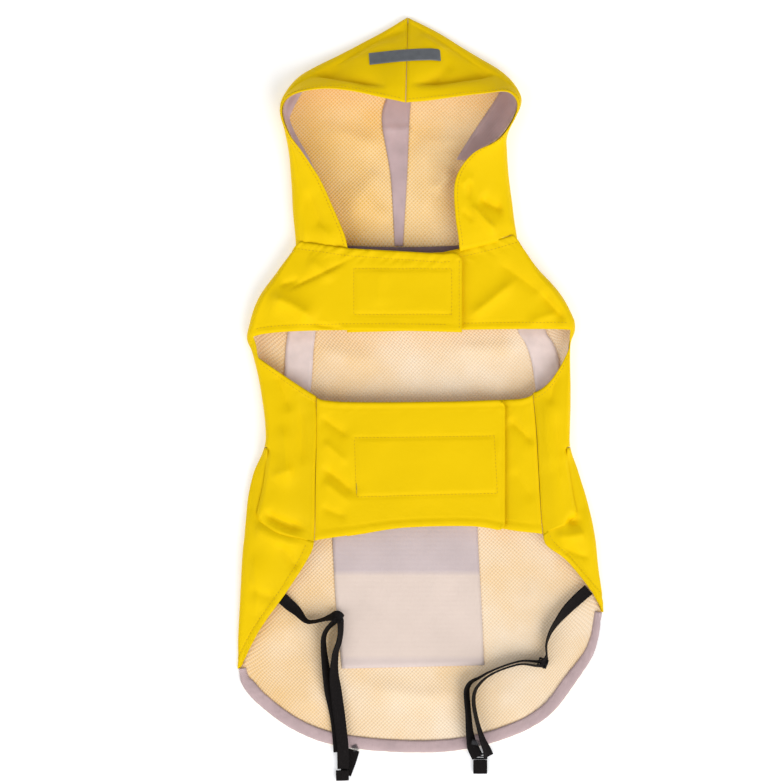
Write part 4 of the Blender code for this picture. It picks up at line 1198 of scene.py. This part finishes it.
def side_panel(side):
    """A side panel with its chest flap, and the leg slot cut out of its top layer."""
    us = steps((0.006, 9), (U_FLOOR, 14), (U_LAPPED, 2), (U_TOP, 92), (1.0, 1))
    vs = steps((NECK, 40), (SLOT_TOP, 5), (SLOT_END, 34), (NOTCH, 26), (TROUGH, 2), (V_LAPPED, 1))

    def place(u, v):
        """The side's surface, its lower edge lapped over the back, less and less towards the belly."""
        if v > TROUGH:
            v = TROUGH + (v - TROUGH) * (1 - 0.8 * smooth((u - 0.72) / 0.25))
        return side.point(u, v)

    def keep(u, v):
        if v < NOTCH:
            return u < U_TOP or not SLOT_TOP < v < SLOT_END
        return u > U_LAPPED

    def height(spot):
        out = side.relief(spot)
        if spot.u < U_FLOOR:
            return out + seam_dip(abs(sheet.beyond(spot, us[0])), -0.6, 2.5)
        top = smooth((spot.u - U_TOP + 0.06) / 0.06)
        out += hem(spot.down, spot.across, side.seed, pucker=0.5 + 0.6 * top)
        if spot.v <= SLOT_TOP:
            out += top * hem(-sheet.below(spot, SLOT_TOP), spot.across, side.seed + 1, 7.4)
            out += top * hem(-sheet.beyond(spot, 1.0), spot.down, side.seed + 2, 4.0, 0.3, 0.15)
        elif spot.v >= SLOT_END:
            away = sheet.below(spot, SLOT_END)
            out += top * hem(away, spot.across, side.seed + 3, 6.0, 0.7, 0.5)
            out += top * seam_dip(-sheet.beyond(spot, 1.0))
            if spot.v > NOTCH:
                over = 1 - smooth((spot.u - U_TOP) / 0.3)
                out += 1.2 * over * smooth((spot.v - NOTCH) / 0.03)
                out += 0.35 * smooth((spot.v - TROUGH + 0.03) / 0.03)
                out += over * seam_dip(max(sheet.beyond(spot, U_LAPPED), 0.0), 2.6, 2.2)
                out += over * seam_dip(max(-sheet.below(spot, V_LAPPED), 0.0), 3.2, 3.6)
        return out

    sheet = Sheet(us, vs, place, 1.0)
    sheet.raise_by(height)
    STITCHES.add(sheet.beside_row(NECK, STITCH_INSET, U_FLOOR + 0.02, 0.985), SHELL_CLOTH)
    STITCHES.add(sheet.beside_row(SLOT_TOP, -6.0, U_TOP + 0.01, 0.985), SHELL_CLOTH)
    STITCHES.add(sheet.beside_row(SLOT_END, 4.8, U_TOP), SHELL_CLOTH)
    STITCHES.add(sheet.beside_column(1.0, -2.4, 0.02, SLOT_TOP - 0.01), SHELL_CLOTH)
    if side is LEFT:
        sheet.round_corner(1.0, NECK, 9.0)
        sew_closure_outlines(sheet)
    sheet.cut(keep)
    name = "side_panel_" + side.name
    return cloth_piece(sheet, name, CLOTH, SHELL_CLOTH, ["back_panel_cloth"])


def belly_edge_share(edge, x):
    """How far along an edge of the belly band a given x lies."""
    return crossing(0.0, 1.0, lambda share: edge.share(share).x < x, 30)


def belly_seam_x(side, y):
    """Where the side panel's belly seam lies at a given y."""
    seam = side.rear[1]
    return seam.at(crossing(SLOT_END, TROUGH, lambda v: seam.at(v).y > y)).x


def belly_height(x, under):
    """Height of a flap's middle at x: level with the side panel at its seam, then on its own level."""
    if under:
        low = BELLY_Z - OVERLAP_DROP
        return low + (BELLY_SEAM_Z - low) * smooth((x - BELLY_FREE_EDGE + 8) / 26)
    return BELLY_SEAM_Z + (BELLY_Z - BELLY_SEAM_Z) * smooth((x + 90) / 30)


def belly_flap(name, x_from, x_to, under):
    """A belly flap between two places across the band; its seam end follows the side panel."""
    side = LEFT if x_from is None else RIGHT
    seam, free = (0.0, 1.0) if side is LEFT else (1.0, 0.0)
    creases = Creases("belly")
    ends = {}
    for edge in (BELLY_TOP_EDGE, BELLY_LOW_EDGE):
        low = 0.0 if x_from is None else belly_edge_share(edge, x_from)
        ends[edge] = (low, 1.0 if x_to is None else belly_edge_share(edge, x_to))

    def place(u, v):
        corners = []
        for edge, (low, high) in ends.items():
            at = edge.share(low + (high - low) * u)
            corners.append(Vector((at.x, at.y)))
        flat = corners[0].lerp(corners[1], v)
        near = max(0.0, 1 - u if side is LEFT else u) ** 4
        flat.x += (belly_seam_x(side, flat.y) + side.inward * 0.5 - flat.x) * near
        return Vector((flat.x, flat.y, belly_height(flat.x, under)))

    def height(spot):
        from_seam, from_free = abs(sheet.beyond(spot, seam)), abs(sheet.beyond(spot, free))
        out = swell(spot.x, spot.y, 4.4, 0.5) + creases.height(spot.x, spot.y)
        out += hem(spot.down, spot.across, 2.2, 6.5, 0.6, 0.35) + seam_dip(from_seam)
        out += hem(-sheet.below(spot, 1.0), spot.across, 8.2, 8.0)
        return out + hem(from_free, spot.down, 6.1, 4.0, 0.3, 0.15)

    sheet = Sheet(even(88), even(66), place)
    sheet.lift(height)
    STITCHES.add(sheet.beside_row(0.0, 5.2), SHELL_CLOTH)
    STITCHES.add(sheet.beside_row(1.0, -6.6), SHELL_CLOTH)
    STITCHES.add(sheet.beside_column(free, -2.4 * side.inward, 0.04, 0.96), SHELL_CLOTH)
    if side is LEFT:
        sheet.round_corner(1.0, 0.0, 7.0)
        sheet.round_corner(1.0, 1.0, 7.0)
        sew_closure_outlines(sheet)
    rests = ["back_lining_cloth" if under else "belly_flap_right_cloth"]
    return cloth_piece(sheet, name, CLOTH, SHELL_CLOTH, rests)


HOOD_COLUMNS = steps((0.0, 22), (U_FLOOR, 22), (U_TOP, 34), (1.0, 1))
HOOD_ROWS = even(96)
# How much of the hood's lower edge is tucked under the coat's neck, and where its facings end.
TUCKED_LENGTH, FACING_TURN = 9, 0.97


def hood_half(half):
    """Half the hood: its back on the floor, its wall round the fold, and its front to the face edge."""
    sheet = Sheet(HOOD_COLUMNS, HOOD_ROWS, half.point)

    def height(spot):
        out = half.relief(spot)
        face = -sheet.beyond(spot, 1.0)
        out += hem(face, spot.down, half.seed, 3.6, 0.8, 0.25) * smooth((spot.u - U_TOP) / 0.1)
        centre = abs(spot.across)
        out += seam_dip(centre, -0.5 if spot.u < U_FLOOR else 0.5)
        if spot.v > 0.9:
            out += 0.9 * seam_dip((1 - spot.v) * 150, 0.8, 1.6) * smooth((spot.u - U_TOP) / 0.05)
        return out

    sheet.raise_by(height)
    for at, vert in sheet.verts.items():
        spot = sheet.spots[at]
        low = 1 - smooth(spot.down / TUCKED_LENGTH)
        tucked = low * smooth((spot.u - U_FLOOR) / 0.15)
        vert.co.y -= low + 4.0 * tucked
        vert.co.z -= 1.6 * tucked
    sheet.bm.normal_update()
    HOODS.append(sheet.tree())
    STITCHES.add(sheet.beside_column(1.0, -3.0, 0.01, 0.995), SHELL_CLOTH)
    name = "hood_" + half.name
    return cloth_piece(sheet, name, CLOTH, SHELL_CLOTH, ["surface"])


def back_lining():
    """The mesh lining inside the back, as far as halfway up each side fold."""
    def height(spot):
        around = max(-spot.u, spot.u - 1)
        if around <= 0 or spot.v > CORNER:
            return -back_swell(spot.x, spot.y)
        return (LEFT if spot.u < 0 else RIGHT).relief(spot._replace(u=around))

    def keep(u, v):
        around = max(-u, u - 1)
        if v < NOTCH:
            return around < 0.5
        return around < (U_FLOOR + 0.05 if v < CORNER - 0.06 else U_FLOOR)

    sides = steps((0.0, 7), (U_FLOOR, 14), (U_TOP, 1))
    sheet = back_sheet(sides, 0.02, NOTCH + 0.003, TROUGH + 0.003)
    sheet.raise_by(height).move_in(LINING_IN).cut(keep)
    return cloth_piece(sheet, "back_lining", BACK_MESH, LINING_CLOTH, ["back_panel_cloth"])


def hood_lining(half):
    """The mesh lining inside half the hood, out to its turned face edge."""
    columns = HOOD_COLUMNS[:-2] + [0.985]
    sheet = Sheet(columns, steps((0.0, 96), (0.995, 1)), half.point)
    sheet.raise_by(half.relief).move_in(LINING_IN)
    for at, vert in sheet.verts.items():
        vert.co.y -= 2.4 * (1 - smooth(sheet.spots[at].down / TUCKED_LENGTH))
    name, rests = "hood_lining_" + half.name, [f"hood_{half.name}_cloth"]
    return cloth_piece(sheet, name, SHADED_HOOD_MESH, LINING_CLOTH, rests)


def hood_facing(half, inner, first):
    """The facing inside the face edge, from its inner edge (a table of places) out to the turning."""
    def inner_u(v):
        """Where the facing's inner edge crosses the hood's cross line at v."""
        def before(u):
            here = half.point(u, v)
            return (here.x - inner.at(here.y).x) * half.inward > 0 and u < U_TOP

        return crossing(0.05, 0.96, before)

    starts = {}

    def hood_u(share, v):
        if v not in starts:
            starts[v] = inner_u(v)
        return starts[v] + (FACING_TURN - starts[v]) * share

    def place(share, v):
        return half.point(hood_u(share, v), v)

    def height(spot):
        return half.relief(spot._replace(u=hood_u(spot.u, spot.v)))

    sheet = Sheet(even(46), steps((first, 76), (0.66, 1)), place)
    sheet.raise_by(height).move_in(TAPE_IN - 0.4)
    name, rests = "hood_facing_" + half.name, [f"hood_lining_{half.name}_cloth"]
    return cloth_piece(sheet, name, TAPE_LILAC, TAPE_CLOTH, rests)


def floor_strip(left, right, lift, across, down):
    """A strip on the inside of the back or of the hood, between two edges, sewn down along them."""
    def place(u, v):
        a, b = left.share(v), right.share(v)
        return Vector((a.x + (b.x - a.x) * u, a.y + (b.y - a.y) * u, SHELL / 2 + TAPE_IN))

    def height(spot):
        sewn = min(abs(sheet.beyond(spot, 0.0)), abs(sheet.beyond(spot, 1.0)))
        return lift(spot.x, spot.y) - 0.3 * math.exp(-sewn / 1.2)

    sheet = Sheet(even(across), even(down), place)
    return sheet.lift(height)


def hood_seam_tape():
    """The tape over the hood's centre seam, wide at the crown and folded narrow at the neck."""
    left = Rows("x y", (-23.0, 130.5), (-26.5, 190.0), (-34.0, 238.0), (-29.0, 262.0), (-20.0, 300.0))
    right = Rows("x y", (-16.0, 130.5), (-12.5, 190.0), (-10.5, 238.0), (-9.0, 262.0), (-9.0, 300.0))

    def lift(x, y):
        hood_side = HOOD_LEFT if x < HOOD_SEAM.at(0.23).x else HOOD_RIGHT
        wave = max(0.0, hood_side.back.height(x, y) + swell(x, y, 2.0, 0.7))
        return wave + 1.2 * math.exp(-(((y - 231) / 3.0) ** 2))

    sheet = floor_strip(left, right, lift, 8, 70)
    return cloth_piece(sheet, "hood_seam_tape", TAPE_LILAC, TAPE_CLOTH, ["hood_lining_left_cloth"])


def side_tape(side):
    """The wide tape over one side seam of the back."""
    def place(u, v):
        share = seam_share(side, v)
        middle = across_floor(share if side is LEFT else 1 - share, v)
        outward = -side.inward * (u - 0.5) * SIDE_TAPE_WIDTH
        room = abs(side.floor_edge(v).x - middle.x) - 0.5
        return middle - Vector((side.inward * min(-side.inward * outward, room), 0.0, 0.0))

    def height(spot):
        uneven = 0.25 * noise.noise(Vector((spot.down / 9, spot.across / 14, side.seed)))
        return back_swell(spot.x, spot.y) + uneven

    sheet = Sheet(even(8), steps((0.06, 60), (0.38, 1)), place)
    sheet.lift(height).move_in(TAPE_IN)
    return cloth_piece(sheet, "side_tape_" + side.name, TAPE_PALE, TAPE_CLOTH, ["back_lining_cloth"])


def neck_binding():
    """The binding over the neck seam inside the back."""
    def place(u, v):
        dip = 16.0 * u * (1 - u)
        return Vector((-92.0 + 160.0 * u, 124.5 + 8.5 * v - dip + u, SHELL / 2 + TAPE_IN))

    def height(spot):
        drawn = 0.2 * noise.noise(Vector((spot.x / 5, spot.v, 1.0)))
        return 0.5 * math.sin(math.pi * spot.v) + drawn

    sheet = Sheet(even(80), even(6), place).lift(height)
    rests = ["back_lining_cloth"]
    # The neck binding's colour is the lilac tape in painted shade.
    return cloth_piece(sheet, "neck_binding", TAPE_SHADED_LILAC, TAPE_CLOTH, rests, turned=2.5)


def rear_hem_binding():
    """The binding along the rounded rear hem, corner to corner."""
    corners = [side.floor_edge(CORNER) for side in (LEFT, RIGHT)]
    edge = Rows("x y", corners[0][:2], *REAR_HEM.rows, corners[1][:2])

    def place(u, v):
        here = edge.share(v)
        ahead, behind = edge.share(min(v + 0.01, 1.0)), edge.share(max(v - 0.01, 0.0))
        run = Vector((ahead.x - behind.x, ahead.y - behind.y)).normalized()
        wide = BINDING_WIDTH * (0.25 + 0.75 * smooth(v / 0.12) * smooth((1 - v) / 0.2))
        inset = 1.0 + wide * u
        return Vector((here.x - run.y * inset, here.y + run.x * inset, SHELL / 2))

    def height(spot):
        drawn = 0.35 * noise.noise(Vector((spot.down / 4.5, spot.u * 1.5, 3.0)))
        rolled = 0.8 * (math.sin(math.pi * spot.u) ** 0.5 if 0 < spot.u < 1 else 0.0)
        return back_swell(spot.x, spot.y) + drawn + rolled

    sheet = Sheet(even(7), even(240), place).lift(height)
    HEM_THREAD.add(sheet.beside_column(1.0, -1.3), TAPE_CLOTH, inward=True)
    sheet.move_in(TAPE_IN)
    rests = ["back_lining_cloth"]
    return cloth_piece(sheet, "rear_hem_binding", TAPE_LILAC, TAPE_CLOTH, rests, turned=2.5)


def pocket_backing():
    """The panel on the inside of the back, under the belly band's rear edge and below it."""
    left = Rows("x y", (-78.0, -95.0), (-76.0, -133.0), (-73.5, -178.0), (-68.5, -232.5))
    right = Rows("x y", (47.5, -95.0), (49.0, -133.0), (51.5, -178.0), (53.8, -229.5))
    sheet = floor_strip(left, right, back_swell, 40, 44)
    return cloth_piece(sheet, "pocket_backing", BACKING, TAPE_CLOTH, ["back_lining_cloth"])


def reflective_strip():
    """The strip across the crown, laid on the two halves of the hood."""
    start, end = Vector((-44.8, 289.0)), Vector((15.8, 293.5))
    run = (end - start).normalized()
    up = Vector((-run.y, run.x))

    def place(u, v):
        bow = 0.5 * math.sin(math.pi * u) - 0.8 * smooth((u - 0.85) * 7)
        flat = start.lerp(end, u) + up * ((0.5 - v) * STRIP_WIDTH + bow)
        starts = [Vector((flat.x + aside, flat.y, ABOVE_ALL)) for aside in (-2.0, 0.0, 2.0)]
        hits = [tree.ray_cast(at, DOWN)[0] for tree in HOODS for at in starts]
        top = max(hit.z for hit in hits if hit)
        return Vector((flat.x, flat.y, top + SHELL_CLOTH / 2 + 0.35))

    sheet = Sheet(even(36), even(8), place)
    for row in range(len(sheet.vs)):
        for column in range(1, len(sheet.us) - 1):
            verts = [sheet.verts[column + d, row].co.z for d in (-1, 0, 1)]
            sheet.verts[column, row].co.z = sum(verts) / 3
    sheet.round_corner(1.0, 0.0, 2.4)
    sheet.bm.normal_update()
    for v, inset in ((0.0, 1.1), (1.0, -1.1)):
        STRIP_THREAD.add(sheet.beside_row(v, inset), 0.5)
    return cloth_piece(sheet, "reflective_strip", REFLECTIVE, 0.5, ["hood_left_cloth"])


def closure(name, left, right, low, high, z):
    """One half of a hook and loop closure, a flat strip between the overlapped flaps."""
    def place(u, v):
        return Vector((left + (right - left) * u, high + (low - high) * v, z))

    sheet = Sheet(even(24), even(14), place)
    return cloth_piece(sheet, name, NAP, 1.1, ["side_panel_right_cloth"])


def strap_run(name, runs):
    """A flat elastic run along its points, its width turned up by each point's tilt."""
    def place(u, v):
        here = runs.share(v)
        ahead, behind = runs.share(min(v + 0.01, 1.0)), runs.share(max(v - 0.01, 0.0))
        run = (Vector(ahead[:3]) - Vector(behind[:3])).normalized()
        side = run.cross(-DOWN).normalized()
        tilt = math.radians(here.tilt)
        up = side.cross(run).normalized()
        width = side * math.cos(tilt) + up * math.sin(tilt)
        cupped = (side * math.sin(tilt) - up * math.cos(tilt)) * 0.5 * math.cos(math.pi * (u - 0.5))
        wander = 0.25 * noise.noise(Vector((v * 9, u * 2, len(name))))
        return Vector((here.x, here.y, here.z + wander)) + width * (u - 0.5) * STRAP_WIDTH + cupped

    sheet = Sheet(even(6), even(9 * (len(runs.rows) - 1)), place)
    return cloth_piece(sheet, name, BLACK_ELASTIC, ELASTIC, ["back_lining_cloth"])


def turned_place(u, v, centre, turn, width, length):
    """A place on a small flat fitting, turned about its centre."""
    flat = Vector(((u - 0.5) * width, (v - 0.5) * length, 0))
    return Vector(centre) + Matrix.Rotation(math.radians(turn), 3, "Z") @ flat


def slider(name, centre, turn, width, length):
    """A small moulded ladder of two slots that the elastic passes through."""
    us, vs = [0.0, 0.17, 0.83, 1.0], [0.0, 0.2, 0.4, 0.6, 0.8, 1.0]

    def place(u, v):
        here = turned_place(u, v, centre, turn, width, length)
        here.z += 0.7 * math.sin(math.pi * v)
        return here

    def keep(u, v):
        return not (us[1] < u < us[2] and (vs[1] < v < vs[2] or vs[3] < v < vs[4]))

    sheet = Sheet(us, vs, place)
    sheet.cut(keep)
    bmesh.ops.subdivide_edges(sheet.bm, edges=sheet.bm.edges, cuts=1, use_grid_fill=True)
    return finish(sheet.bm, name + "_moulding", PLASTIC, 2.0, name, edges=0.55)


def end_tab(name, centre, turn, width, length):
    """The turned end of a strap, a short thick fold of elastic."""
    def place(u, v):
        here = turned_place(u, v, centre, turn, width, length)
        here.z += 0.35 * math.cos(2 * math.pi * (u - 0.5)) * math.sin(math.pi * v)
        return here

    sheet = Sheet(even(8), even(10), place)
    sheet.lay_uvs()
    return finish(sheet.bm, name + "_fold", BLACK_ELASTIC, 2.2, name, edges=0.6)


# Stitches

class Stitching:
    """Rows of stitches gathered into one piece: each is a short length of thread sunk at its ends."""

    def __init__(self, name, material, pitch=3.1, length=2.1, thread=0.42):
        self.name, self.material = name, material
        self.pitch, self.length, self.thread = pitch, length, thread
        self.bm = bmesh.new()

    def add(self, path, cloth, inward=False):
        """Sews along a path of points and outward normals, on cloth of a given thickness."""
        facing = -1 if inward else 1
        lift = cloth / 2 + self.thread * 0.2
        run, due = 0.0, self.pitch / 2
        for (start, normal), (end, _) in zip(path, path[1:]):
            apart = (end - start).length
            while apart > 0.001 and due <= run + apart:
                at = start.lerp(end, (due - run) / apart) + normal * facing * lift
                self.stitch(at, (end - start) / apart, normal * facing)
                due += self.pitch
            run += apart

    def stitch(self, at, along, normal):
        side = normal.cross(along).normalized()
        up = along.cross(side).normalized()
        turned = Matrix((along, side, up)).transposed().to_4x4()
        size = Matrix.Diagonal((self.length, self.thread, self.thread, 1.0))
        shape = Matrix.Translation(at) @ turned @ size
        bmesh.ops.create_icosphere(self.bm, subdivisions=1, radius=0.5, matrix=shape)

    def done(self):
        return finish(self.bm, self.name, self.material)


def outline_sides(corners):
    return zip(corners, corners[1:] + corners[:1])


def sew_closure_outlines(sheet):
    """Sews each closure's outline that lies on this sheet, and presses the cloth in along it."""
    tree = sheet.tree()
    for outline in CLOSURE_OUTLINES:
        corners = [Vector(p) for p in outline]
        middle = sum(corners, Vector((0.0, 0.0))) / 4
        if tree.ray_cast(Vector((middle.x, middle.y, ABOVE_ALL)), DOWN)[0] is None:
            continue
        press_outline(sheet, corners)
        tree = sheet.tree()
        for a, b in outline_sides(corners):
            path = []
            for i in range(61):
                flat = a.lerp(b, i / 60)
                hit, normal, _, _ = tree.ray_cast(Vector((flat.x, flat.y, ABOVE_ALL)), DOWN)
                if hit:
                    path.append((hit, normal if normal.z > 0 else -normal))
            STITCHES.add(path, SHELL_CLOTH)


def press_outline(sheet, corners):
    """Sinks the top layer's cloth along an outline and raises what lies inside it a little."""
    for vert in sheet.bm.verts:
        if vert.co.z < 8.0:
            continue
        here = vert.co.xy
        inside, nearest = True, math.inf
        for a, b in outline_sides(corners):
            run = b - a
            inside = inside and run.x * (here.y - a.y) - run.y * (here.x - a.x) < 0
            t = min(max((here - a).dot(run) / run.length_squared, 0.0), 1.0)
            nearest = min(nearest, (here - a - run * t).length)
        if nearest < 6 or inside:
            vert.co.z -= 0.55 * math.exp(-((nearest / 1.3) ** 2))
            vert.co.z += 0.35 * smooth(nearest / 4) if inside else 0.0
    sheet.bm.normal_update()


# The stitched outlines that show on the upper flaps, where the closure strips are sewn on.
CLOSURE_OUTLINES = (
    ((-58.0, 110.4), (25.6, 110.4), (25.6, 71.4), (-58.0, 71.4)),
    ((-57.8, -34.2), (62.0, -32.4), (64.6, -81.4), (-55.6, -84.6)),
)
STITCHES = Stitching("topstitching", SHADED_YELLOW_THREAD)
STRIP_THREAD = Stitching("strip_stitching", GREY_THREAD, 2.6, 1.8, 0.34)
HEM_THREAD = Stitching("binding_stitching", LILAC_THREAD, 3.0, 2.0, 0.36)
HOODS = []


def bar_tack(name, x, y, z, width, rows, turn):
    """A dense bar of stitches that holds a strap's end."""
    tack = Stitching(name, BLACK_THREAD, 3.0, width, 0.5)
    angle = math.radians(turn)
    for i in range(rows):
        offset = (i - (rows - 1) / 2) * 0.62
        at = Vector((x - math.sin(angle) * offset, y + math.cos(angle) * offset, z))
        wobble = angle + 0.06 * noise.noise(Vector((i, x, y)))
        tack.stitch(at, Vector((math.cos(wobble), math.sin(wobble), 0.0)), -DOWN)
    return tack.done()


def camera_and_light():
    """A camera straight above, two broad lights from beyond the rear hem, soft light around."""
    lens = bpy.data.cameras.new("camera")
    lens.sensor_fit = "HORIZONTAL"
    lens.sensor_width = 36.0
    lens.lens = 134.17
    lens.clip_end = 100.0
    camera = in_scene("camera", lens)
    camera.location = (-0.0271, 0.00645, 2.5)
    bpy.context.scene.camera = camera

    for name, toward, strength, spread in (
        ("key_light", (1.3, -1.5, 1.6), 2.0, 50.0),
        ("fill_light", (-1.6, -0.9, 1.5), 0.95, 50.0),
    ):
        lamp = bpy.data.lights.new(name, "SUN")
        lamp.energy = strength
        lamp.angle = math.radians(spread)
        light = in_scene(name, lamp)
        light.location = toward
        light.rotation_euler = (-Vector(toward)).to_track_quat("-Z", "Y").to_euler()

    world = bpy.data.worlds.new("soft_room")
    world.use_nodes = True
    glow = world.node_tree.nodes["Background"]
    glow.inputs["Color"].default_value = (0.97, 0.98, 1.0, 1.0)
    glow.inputs["Strength"].default_value = 0.48
    bpy.context.scene.world = world
    bpy.context.scene.view_settings.view_transform = "Standard"


def surface():
    """The plain white surface that the coat lies on."""
    bm = bmesh.new()
    bmesh.ops.create_grid(bm, x_segments=2, y_segments=2, size=6.0)
    mesh = bpy.data.meshes.new("surface")
    bm.to_mesh(mesh)
    bm.free()
    mesh.materials.append(plain_floor())
    obj = in_scene("surface", mesh)


def build():
    back_panel()
    side_panel(LEFT)
    side_panel(RIGHT)
    belly_flap("belly_flap_left", None, BELLY_FREE_EDGE, False)
    belly_flap("belly_flap_right", BELLY_UNDER_EDGE, None, True)
    hood_half(HOOD_LEFT)
    hood_half(HOOD_RIGHT)
    back_lining()
    hood_lining(HOOD_LEFT)
    hood_lining(HOOD_RIGHT)
    hood_facing(HOOD_LEFT, FACING_LEFT_EDGE, 0.20)
    hood_facing(HOOD_RIGHT, FACING_RIGHT_EDGE, 0.30)
    hood_seam_tape()
    side_tape(LEFT)
    side_tape(RIGHT)
    neck_binding()
    rear_hem_binding()
    pocket_backing()
    reflective_strip()
    drop = SHELL / 2 + GAP + 0.65
    for band, z, place in (
        ("chest", CHEST_Z, (-59.5, 28.5, 71.0, 109.0)), ("belly", BELLY_Z, (-56.0, 58.0, -83.0, -33.0)),
    ):
        closure(band + "_hook_strip", *place, z - drop)
        closure(band + "_loop_strip", *place, z - OVERLAP_DROP + drop)
    for name, runs in STRAP_RUNS.items():
        strap_run(name, runs)
    slider("strap_slider_left", (-71.8, -188.5, 8.0), 20, 8.5, 8.0)
    slider("strap_slider_right", (103.8, -227.0, 8.0), -20, 8.5, 8.0)
    slider("strap_keeper_right", (50.0, -307.5, 4.2), 0, 13.0, 5.0)
    end_tab("strap_end_left", (-68.0, -324.2, 2.9), 2, 11.0, 9.0)
    end_tab("strap_end_right", (50.4, -316.8, 2.6), 0, 12.0, 12.0)
    bar_tack("bar_tack_left", -57.0, -300.5, 4.6, 6.5, 9, 25)
    bar_tack("bar_tack_right", 46.6, -295.0, 9.6, 6.0, 12, 80)
    for thread in (STITCHES, STRIP_THREAD, HEM_THREAD):
        thread.done()


camera_and_light()
surface()
build()
